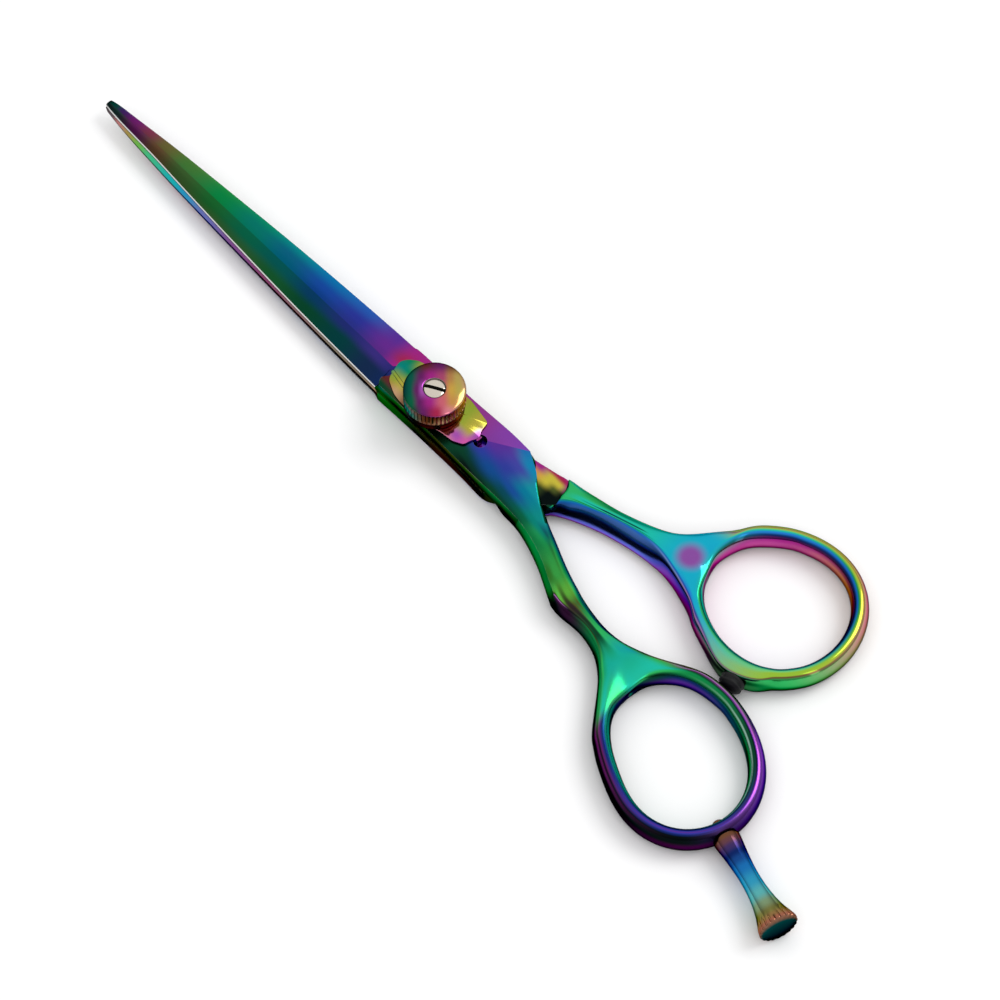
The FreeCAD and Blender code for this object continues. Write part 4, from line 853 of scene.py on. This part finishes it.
m_limb_b = coated_limb("thumb_limb_film_and_painted_light", BHANDLE, THUMB[0], THUMB_SECTORS, 14.6, 18.5, (20, 0.80, 0.95, 12.4, 13.6), spot=(-46.9, -10.8, 1.0, 3.2, (0.26, 0.06, 0.33)))
back_mats = [m_upper, m_bflat, m_bstrip, m_bevel, m_shelf, m_wall, m_under, m_limb_b, m_inner]
runs = [(T0, 0, SH), (T4, 0, SH), (B4, 0, SH), (B0, 0, SH - 1)]
loops_ = [(SH, T0, T4), (bheel, T4, B3)]
toothed_half = build_half("toothed_half_forging", back, THUMB, 20, b_arms, runs, loops_, back_mats, back_mat)
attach(toothed_half, "lower")
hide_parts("toothed_half")


# =============================================================== thinning teeth, cut through the lower blade
def comb_at(x):
    return float(np.interp(x, BX[::-1], BTIPS[::-1])), float(np.interp(x, BX[::-1], BSPINE[::-1]))


def prism(outline, z0, z1, verts, faces):
    n0 = len(verts)
    for x, y in outline:
        verts.append((x, y, z0))
    for x, y in outline:
        verts.append((x, y, z1))
    n = len(outline)
    faces.append(tuple(range(n0, n0 + n)))
    faces.append(tuple(range(n0 + 2 * n - 1, n0 + n - 1, -1)))
    for i in range(n):
        j = (i + 1) % n
        faces.append((n0 + i, n0 + n + i, n0 + n + j, n0 + j))


verts, faces = [], []
TEETH, PITCH, SLOT, FIRST = 28, 1.95, 0.95, 12.4
for i in range(TEETH + 1):
    x = FIRST + i * PITCH
    tip, spine = comb_at(x)
    depth = min(4.7, spine - tip - 1.45 - SLOT / 2)
    r = SLOT / 2
    arc = [(x + r * math.cos(a), tip + depth + r * math.sin(a)) for a in np.linspace(0, math.pi, 13)]
    prism([(x + r, tip - 3)] + arc + [(x - r, tip - 3)], -1, 4, verts, faces)
    if i < TEETH:
        xm = x + PITCH / 2
        ym = comb_at(xm)[0]
        prism([(xm - 0.26, ym - 0.6), (xm + 0.26, ym - 0.6), (xm + 0.20, ym + 0.02), (xm + 0.05, ym + 0.26), (xm - 0.05, ym + 0.26), (xm - 0.20, ym + 0.02)], -1, 4, verts, faces)
cutter = mesh_object("tooth_cutter", np.array(verts) * MM, faces, [m_bevel], smooth=False)


def cut_with(ob, tool):
    """Cuts tool out of ob's finished surface and keeps the result as ob's mesh."""
    b = ob.modifiers.new("cut", "BOOLEAN")
    b.operation = "DIFFERENCE"
    b.solver = "EXACT"
    b.object = tool
    bpy.context.view_layer.update()
    dg = bpy.context.evaluated_depsgraph_get()
    me = bpy.data.meshes.new_from_object(ob.evaluated_get(dg), depsgraph=dg)
    old = ob.data
    ob.modifiers.clear()
    ob.data = me
    bpy.data.meshes.remove(old)
    me.polygons.foreach_set("use_smooth", [True] * len(me.polygons))
    bpy.data.objects.remove(tool)
    sharpen(ob, 34)


cut_with(toothed_half, cutter)

# hole for the tension plate's tab, in the plain half
hv, hf = [], []
prism([(-9.55 + 1.13 * math.cos(a), -0.89 + 1.13 * math.sin(a)) for a in np.linspace(0, 2 * math.pi, 49)[:-1]], 3.3, 6, hv, hf)
cut_with(plain_half, mesh_object("tab_hole_cutter", np.array(hv) * MM, hf, [m_under], smooth=False))

# =============================================================== tension knob
KNURL = 44


def knurl(i, a, r, z):
    if not (7.05 <= z <= 9.62) or r < 4.6:
        return r
    share = min(1.0, (z - 7.05) / 0.28, (9.62 - z) / 0.28)
    s = abs(((a * KNURL / (2 * math.pi)) % 1.0) - 0.5) * 2      # 0 in the groove, 1 on the land
    return r - 0.20 * share * (1 - s) ** 1.3


knob_mats = []
m_ktop = None


def coated_radial(name, stops, lo, hi, direction, rim=None, rough=0.12):
    return coated(name, direction, stops, lo, hi, swirl=0.02, rough=rough)


# Knob top: dark green on the +X +Y side and tan towards −X −Y, where the key light stands: painted shade and light
# across the dome.
m_ktop = coated_place("knob_top_film_and_painted_light", (-0.734, 0.679, 0), (-0.679, -0.734, 0), [
    (-4.2, [(-5, "dgreen"), (-3, "dgreen"), (-1.4, "maroon"), (1.0, "plum"), (2.6, "brown"), (4.9, "tan")]),
    (-2.0, [(-5, (0.003, 0.03, 0.03)), (-3.6, (0.004, 0.09, 0.06)), (-2.2, "plum"), (-0.6, "magenta"), (1.2, (0.36, 0.06, 0.14)), (2.4, (0.42, 0.20, 0.07)), (3.6, (0.44, 0.33, 0.09)), (4.9, "tan")]),
    (0.4, [(-5, (0.003, 0.03, 0.03)), (-3.8, (0.004, 0.09, 0.06)), (-2.8, "plum"), (-1.9, "orchid"), (-0.4, "orchid"), (1.5, (0.54, 0.16, 0.10)), (2.6, (0.56, 0.34, 0.06)), (3.9, (0.44, 0.36, 0.08)), (4.9, "tan")]),
    (2.6, [(-5, "dgreen"), (-3.6, (0.004, 0.11, 0.05)), (-2.4, "plum"), (-0.8, "magenta"), (1.2, (0.56, 0.12, 0.16)), (2.8, (0.52, 0.26, 0.07)), (4.9, "tan")]),
    (4.4, [(-5, "dgreen"), (-3.2, "dgreen"), (-1.8, "plum"), (0.4, "crimson"), (2.2, "pink"), (4.9, "tan")])], -5, 5, swirl=0.12)
# Knurled band: dark towards +X +Y and low down, warm and lighter towards −X −Y, where the key light stands: painted
# shade and light.
m_kside = coated_place("knob_side_film_and_painted_light", (-0.679, -0.734, 0), (0, 0, 1), [
    (-4.5, [(5, "black"), (6.6, "dgreen"), (7.6, "teal"), (9.0, "grey"), (9.9, "green")]),
    (-1.5, [(5, "black"), (6.6, "maroon"), (7.6, "brown"), (9.0, "brown"), (9.9, "plum")]),
    (2.0, [(5, "maroon"), (6.6, "brown"), (7.6, "tan"), (9.0, "brown"), (9.9, "pinkm")]),
    (4.5, [(5, "maroon"), (6.6, "orange"), (7.6, "tan"), (9.0, "orange"), (9.9, "yellow")])], 4.5, 10.5, swirl=0.3, rough=0.22)
m_kbore = steel("knob_thread", (0.40, 0.38, 0.36), 0.35)
prof = [(1.76, 5.56, 1), (3.80, 5.56, 1), (3.80, 5.36, 1), (4.52, 5.35, 1), (4.74, 5.42, 1), (4.84, 5.60, 1), (4.86, 5.9, 1), (4.86, 6.9, 1), (4.93, 7.02, 1)]
prof += [(4.96, z, 1) for z in (7.06, 7.2, 7.35, 7.8, 8.35, 8.9, 9.3, 9.48, 9.60)]
prof += [(4.93, 9.70, 0), (4.84, 9.82, 0), (4.66, 9.92, 0), (4.35, 10.02, 0), (3.9, 10.12, 0), (3.3, 10.20, 0), (2.6, 10.26, 0), (2.1, 10.28, 0), (1.92, 10.26, 0), (1.82, 10.18, 2), (1.76, 10.0, 2)]
knob = lathe("tension_knob_turned", prof, KNURL * 12, [m_ktop, m_kside, m_kbore], radius=knurl)
sharpen(knob, 40)
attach(knob, "knob")
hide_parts("tension_knob")

# =============================================================== pivot bolt
m_bolt = steel("bolt_steel", (0.66, 0.60, 0.51), 0.14)
prof = [(0, 0, 0), (2.9, 0, 0), (3.18, 0.06, 0), (3.28, 0.20, 0), (3.30, 0.9, 0), (3.22, 1.0, 0), (2.30, 1.0, 0), (2.30, 2.64, 0), (1.9, 2.64, 0), (1.9, 4.6, 0), (1.70, 4.62, 0)]
for k in range(11):
    z = 5.2 + k * 0.42
    prof += [(1.70, z, 0), (1.60, z + 0.14, 0), (1.60, z + 0.20, 0), (1.70, z + 0.34, 0)]
prof += [(1.70, 9.92, 0), (1.66, 10.02, 0), (1.55, 10.09, 0), (1.3, 10.15, 0), (0.9, 10.20, 0), (0.5, 10.225, 0), (0, 10.24, 0)]
# the slot's walls and floor are near black: painted shade in the slot
m_slot = steel("slot_painted_shade", (0.10, 0.085, 0.07), 0.5)
bolt = lathe("pivot_bolt_turned", prof, 96, [m_bolt, m_slot], closed=False)
ang = math.radians(30)
c_, s_ = math.cos(ang), math.sin(ang)
sv, sf = [], []
prism([(x * c_ - y * s_, x * s_ + y * c_) for x, y in ((-3, -0.31), (3, -0.31), (3, 0.31), (-3, 0.31))], 9.30, 11, sv, sf)
cut_with(bolt, mesh_object("slot_cutter", np.array(sv) * MM, sf, [m_bolt, m_slot], [1] * len(sf), smooth=False))
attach(bolt, "upper")
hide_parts("pivot_bolt")

# =============================================================== tension plate
PLATE = [(9.00, -2.45), (9.55, -1.36), (9.32, -0.28), (8.96, 0.68), (8.59, 1.76), (8.09, 2.33), (7.19, 2.78),
         (5.98, 3.35), (4.44, 3.62), (1.5, 3.70), (-2.0, 3.25), (-4.30, 2.72), (-6.68, 2.48), (-8.45, 1.55), (-8.62, 0.40),
         (-9.10, -0.55), (-9.10, -1.25), (-8.48, -2.14), (-8.09, -3.90), (-3.40, -4.70), (1.0, -4.70), (5.0, -4.30), (7.6, -3.60)]
YG, YE, OR = (0.26, 0.34, 0.035), (0.42, 0.36, 0.05), (0.42, 0.18, 0.06)
m_plate = coated_place("coat_plate", (0, 1, 0), (1, 0, 0), [
    (-3.6, [(-9.6, YG), (-7.0, YE), (-4.5, YG), (-1.0, OR), (3.0, YG), (6.0, YE), (8.4, "green"), (9.6, "olive")]),
    (-1.0, [(-9.6, "magenta"), (-8.7, "orchid"), (-7.4, YE), (-4.5, YG), (-1.0, OR), (3.0, "pink"), (6.0, "green"), (8.4, "teal"), (9.6, "teal")]),
    (1.2, [(-9.6, "magenta"), (-8.5, "pinkm"), (-6.4, "orchid"), (-4.5, "pink"), (-1.0, "pink"), (3.0, "maroon"), (6.0, YE), (8.0, YG), (9.6, "teal")]),
    (3.2, [(-9.6, "violet"), (-8.0, "orchid"), (-6.0, "pink"), (-3.5, "pink"), (-1.0, "maroon"), (3.0, "brown"), (6.0, "tan"), (8.0, OR), (9.6, YE)])], -10, 10, swirl=0.6)


def rounded_outline(pts, r, seg=4):
    out = []
    P_ = [np.array(p, float) for p in pts]
    n = len(P_)
    for i in range(n):
        a, b, c = P_[i - 1], P_[i], P_[(i + 1) % n]
        d1, d2 = (a - b), (c - b)
        l1, l2 = np.linalg.norm(d1), np.linalg.norm(d2)
        k = min(r, 0.45 * l1, 0.45 * l2)
        p0, p1 = b + d1 / l1 * k, b + d2 / l2 * k
        for s in range(seg + 1):
            t = s / seg
            out.append((1 - t) ** 2 * p0 + 2 * t * (1 - t) * b + t * t * p1)
    return out


def offset_inward(pts, d):
    n = len(pts)
    out = []
    area = sum(pts[i - 1][0] * pts[i][1] - pts[i][0] * pts[i - 1][1] for i in range(n))
    sgn = 1 if area > 0 else -1
    for i in range(n):
        t = pts[(i + 1) % n] - pts[i - 1]
        t = t / np.linalg.norm(t)
        out.append(pts[i] + sgn * d * np.array((-t[1], t[0])))
    return out


outline = rounded_outline(PLATE, 0.5)
n = len(outline)
verts, faces = [], []
layers = [(0.0, 4.76), (0.0, 5.04), (0.04, 5.11), (0.11, 5.15)]
for d, z in layers:
    verts += [(p[0], p[1], z) for p in (offset_inward(outline, d) if d else outline)]
for l in range(len(layers) - 1):
    for i in range(n):
        j = (i + 1) % n
        faces.append((l * n + i, l * n + j, (l + 1) * n + j, (l + 1) * n + i))
# bore, bridged to the outline by matching directions
bore = []
for d, z in ((0.0, 4.76), (0.0, 5.15)):
    start = len(verts)
    bore.append(start)
    for p in outline:
        a = math.atan2(p[1], p[0])
        verts.append((1.8 * math.cos(a), 1.8 * math.sin(a), z))
for i in range(n):
    j = (i + 1) % n
    faces.append(((len(layers) - 1) * n + i, (len(layers) - 1) * n + j, bore[1] + j, bore[1] + i))
    faces.append((i, bore[0] + i, bore[0] + j, j))
    faces.append((bore[0] + i, bore[1] + i, bore[1] + j, bore[0] + j))
# pressed rib near the blade end, and the tab that goes down into the hole
rib_c, rib_u = np.array((7.25, 1.05)), np.array((0.982, -0.187))
rib_v = np.array((-rib_u[1], rib_u[0]))
rings = []
for d, z in ((0.34, 5.12), (0.30, 5.24), (0.20, 5.34), (0.08, 5.38)):
    ids = []
    for k in range(32):
        a = 2 * math.pi * k / 32
        p = rib_c + rib_u * (1.62 * (1 if math.cos(a) > 0 else -1) * (1 if abs(math.cos(a)) > 1e-6 else 0) + d * math.cos(a)) + rib_v * d * math.sin(a)
        verts.append((p[0], p[1], z))
        ids.append(len(verts) - 1)
    rings.append(ids)
for a_, b_ in zip(rings[:-1], rings[1:]):
    for k in range(32):
        l = (k + 1) % 32
        faces.append((a_[k], a_[l], b_[l], b_[k]))
faces.append(tuple(rings[-1]))
faces.append(tuple(reversed(rings[0])))
tabv, tabf = [], []
prism(rounded_outline([(-9.12, -1.40), (-9.12, -0.40), (-9.42, -0.42), (-9.42, -1.38)], 0.1), 3.5, 5.05, tabv, tabf)
o = len(verts)
verts += tabv
faces += [tuple(i + o for i in f) for f in tabf]
plate = mesh_object("tension_plate_pressed", np.array(verts) * MM, faces, [m_plate])
sharpen(plate, 30)
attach(plate, "upper")
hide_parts("tension_plate")

# =============================================================== finger rest
REST_PLAN = 163.4
foot = ring_point(FINGER, REST_PLAN, A_RING + 0.02)
t_ = math.radians(3.0)
rd = Vector((math.cos(math.radians(REST_PLAN)) * math.cos(t_), math.sin(math.radians(REST_PLAN)) * math.cos(t_), math.sin(t_)))
M = Matrix.Translation(Vector((foot[0] * MM, foot[1] * MM, 2.35 * MM))) @ rd.to_track_quat("Z", "Y").to_matrix().to_4x4()


def coated_rest(name):
    m, nt, sh = new_material(name)
    vec, X, Y, Z = object_xyz(nt)
    along = math_node(nt, "MULTIPLY", math_node(nt, "SUBTRACT", X, foot[0] * MM), rd[0] * 1000)
    along = math_node(nt, "ADD", along, math_node(nt, "MULTIPLY", math_node(nt, "SUBTRACT", Y, foot[1] * MM), rd[1] * 1000))
    fac = map_range(nt, along, -2, 18)
    stops = [(-1, "brown"), (0.3, "brown"), (1.1, (0.13, 0.05, 0.06)), (2.2, (0.05, 0.03, 0.12)), (3.4, "navy"), (4.6, (0.010, 0.06, 0.24)), (6.2, (0.012, 0.15, 0.42)), (9.0, (0.03, 0.30, 0.48)), (11.4, (0.10, 0.42, 0.42)),
             (13.4, (0.20, 0.30, 0.16)), (15.2, (0.20, 0.19, 0.05)), (16.2, (0.30, 0.17, 0.06)), (16.9, (0.34, 0.12, 0.07)), (17.4, (0.22, 0.10, 0.06)), (17.56, (0.004, 0.07, 0.07)), (18, (0.004, 0.055, 0.06))]
    col = ramp(nt, fac, [((p + 2) / 20, C[c] if isinstance(c, str) else c) for p, c in stops])
    finish_metal(nt, sh, vec, col, 0.10)
    return m


def serration(i, a, r, z):
    if r > 2.9:
        s = abs(((a * 20 / (2 * math.pi)) % 1.0) - 0.5) * 2
        return r - 0.24 * min(1.0, (r - 2.9) / 0.15) * (1 - s) ** 2
    return r


m_rest = coated_rest("coat_finger_rest")
prof = [(0, -3.32, 0), (0.72, -3.30, 0), (0.96, -3.10, 0), (1.0, -2.9, 0), (1.0, -0.04, 0), (2.06, 0.0, 0), (2.15, 0.05, 0), (2.19, 0.16, 0), (2.18, 0.5, 0), (2.13, 1.0, 0), (2.07, 1.5, 0)]
for z, r in ((2.2, 1.98), (3.2, 1.86), (4.4, 1.74), (5.8, 1.62), (7.2, 1.56), (8.6, 1.56), (10.0, 1.63), (11.4, 1.77), (12.8, 1.99), (14.0, 2.26), (15.0, 2.55), (15.8, 2.84), (16.3, 3.02), (16.6, 3.12)):
    prof.append((r, z, 0))
prof += [(3.20, 16.9, 0), (3.25, 17.25, 0), (3.24, 17.42, 0), (3.16, 17.52, 0), (2.8, 17.60, 0), (2.0, 17.68, 0), (1.2, 17.72, 0), (0, 17.74, 0)]
rest = lathe("finger_rest_turned", prof, 120, [m_rest], radius=serration, place=M, closed=False)
sharpen(rest, 34)
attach(rest, "upper")
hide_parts("finger_rest")

# =============================================================== bumper
m, nt, sh = new_material("bumper_rubber")
vec, X, Y, Z = object_xyz(nt)
grain = noise(nt, vec, 2600.0, 3.0, 0.6)
dust = map_range(nt, noise(nt, vec, 500.0, 4.0, 0.6), 0.5, 0.75)
nt.links.new(mix_color(nt, math_node(nt, "MULTIPLY", dust, 0.25), (0.006, 0.006, 0.007), (0.035, 0.034, 0.032)), sh.inputs["Base Color"])
nt.links.new(math_node(nt, "ADD", 0.42, math_node(nt, "MULTIPLY", grain, 0.22)), sh.inputs["Roughness"])
bump = nt.nodes.new("ShaderNodeBump")
bump.inputs["Strength"].default_value = 0.4
bump.inputs["Distance"].default_value = 0.00003
nt.links.new(grain, bump.inputs["Height"])
nt.links.new(bump.outputs[0], sh.inputs["Normal"])
sh.inputs["Specular IOR Level"].default_value = 0.22
m_rubber = m
sdir = Vector((float(seat_n[0]), float(seat_n[1]), 0))
M = Matrix.Translation(Vector((-66.45 * MM, -1.50 * MM, 2.35 * MM))) @ sdir.to_track_quat("Z", "Y").to_matrix().to_4x4()
prof = [(0, -1.7, 0), (0.8, -1.7, 0), (0.9, -1.6, 0), (0.9, 0.0, 0), (1.95, 0.0, 0), (2.03, 0.06, 0), (2.05, 0.2, 0), (2.02, 0.42, 0), (1.86, 0.54, 0), (1.80, 0.66, 0), (1.86, 0.80, 0),
        (1.98, 0.94, 0), (2.0, 1.12, 0), (1.94, 1.28, 0), (1.74, 1.42, 0), (1.62, 1.52, 0), (1.50, 1.66, 0), (1.25, 1.78, 0), (0.9, 1.84, 0), (0, 1.86, 0)]
bumper = lathe("bumper_moulded", prof, 64, [m_rubber], place=M, closed=False)
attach(bumper, "lower")
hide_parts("bumper")

# =============================================================== washers and bush keep their CAD shape and get a finish
m_bush, nt, sh = new_material("bush_polymer_finish")
vec, X, Y, Z = object_xyz(nt)
nt.links.new(mix_color(nt, noise(nt, vec, 700.0, 3.0), (0.70, 0.68, 0.62), (0.82, 0.80, 0.74)), sh.inputs["Base Color"])
nt.links.new(math_node(nt, "ADD", 0.42, math_node(nt, "MULTIPLY", noise(nt, vec, 1800.0, 2.0), 0.2)), sh.inputs["Roughness"])
m_spring = steel("spring_steel", (0.55, 0.54, 0.52), 0.22)
for node_name, mat in (("pivot_bush", m_bush), ("ride_washer", m_bush), ("head_washer", m_spring), ("wave_washer", m_spring)):
    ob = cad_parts[node_name]
    ob.data.materials.clear()
    ob.data.materials.append(mat)

# =============================================================== stage, light and camera
scene = bpy.context.scene
scene.view_settings.view_transform = "Standard"
scene.view_settings.look = "None"
m_floor, nt, sh = new_material("floor_paper")
vec, X, Y, Z = object_xyz(nt)
nt.links.new(mix_color(nt, noise(nt, vec, 30.0, 2.0), (0.93, 0.93, 0.93), (0.95, 0.95, 0.95)), sh.inputs["Base Color"])
sh.inputs["Roughness"].default_value = 0.9
sh.inputs["Specular IOR Level"].default_value = 0.15
R_ = 3.0
floor = mesh_object("floor", [(-R_, -R_, -0.00005), (R_, -R_, -0.00005), (R_, R_, -0.00005), (-R_, R_, -0.00005)], [(0, 1, 2, 3)], [m_floor], smooth=False)
floor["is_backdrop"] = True

world = bpy.data.worlds.new("studio")
scene.world = world
world.use_nodes = True
nt = world.node_tree
nt.nodes.clear()
wo = nt.nodes.new("ShaderNodeOutputWorld")
bg = nt.nodes.new("ShaderNodeBackground")
nt.links.new(bg.outputs[0], wo.inputs[0])
tc = nt.nodes.new("ShaderNodeTexCoord")
sep = nt.nodes.new("ShaderNodeSeparateXYZ")
nt.links.new(tc.outputs["Generated"], sep.inputs[0])
sky = ramp(nt, sep.outputs[2], [(0.0, (0.50, 0.50, 0.51)), (0.10, (0.42, 0.42, 0.43)), (0.30, (0.72, 0.72, 0.73)), (0.55, (0.96, 0.96, 0.97)), (0.9, (1.0, 1.0, 1.0)), (1.0, (1.0, 1.0, 1.0))], "LINEAR")
nt.links.new(sky, bg.inputs["Color"])
bg.inputs["Strength"].default_value = 1.0


def area_light(name, place, target, size, power, color=(1, 1, 1), size_y=None):
    d = bpy.data.lights.new(name, "AREA")
    d.energy = power
    d.color = color
    d.shape = "RECTANGLE"
    d.size = size
    d.size_y = size_y or size
    o = bpy.data.objects.new(name, d)
    scene.collection.objects.link(o)
    o.location = place
    o.rotation_euler = (Vector(target) - Vector(place)).to_track_quat("-Z", "Y").to_euler()
    return o


target = Vector((-0.017473, 0.002247, 0.0))
back_dir = Vector((-0.36687, 0.33972, 0.86603)).normalized()
cam_d = bpy.data.cameras.new("camera")
cam_d.lens = 300
cam_d.sensor_width = 36
cam_d.clip_start = 0.05
cam_d.clip_end = 20
cam = bpy.data.objects.new("camera", cam_d)
scene.collection.objects.link(cam)
cam.location = target + back_dir * 1.3035
cam.rotation_euler = (-back_dir).to_track_quat("-Z", "Y").to_euler()
scene.camera = cam

# overhead softbox, slightly behind; a lower fill at the camera's left
area_light("key", (-0.21, -0.53, 0.62), (0, 0, 0), 0.45, 2.3)
area_light("strip", (-0.75, 0.05, 0.40), (0, 0, 0), 0.16, 0.4, size_y=0.8)

bounds_at_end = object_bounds()


def plain(b):
    if isinstance(b, dict):
        return {k: plain(v) for k, v in b.items()}
    if isinstance(b, (int, float, np.floating)):
        return float(b)
    return [plain(v) for v in b]


{"at_load": plain(bounds_at_load), "at_end": plain(bounds_at_end)}
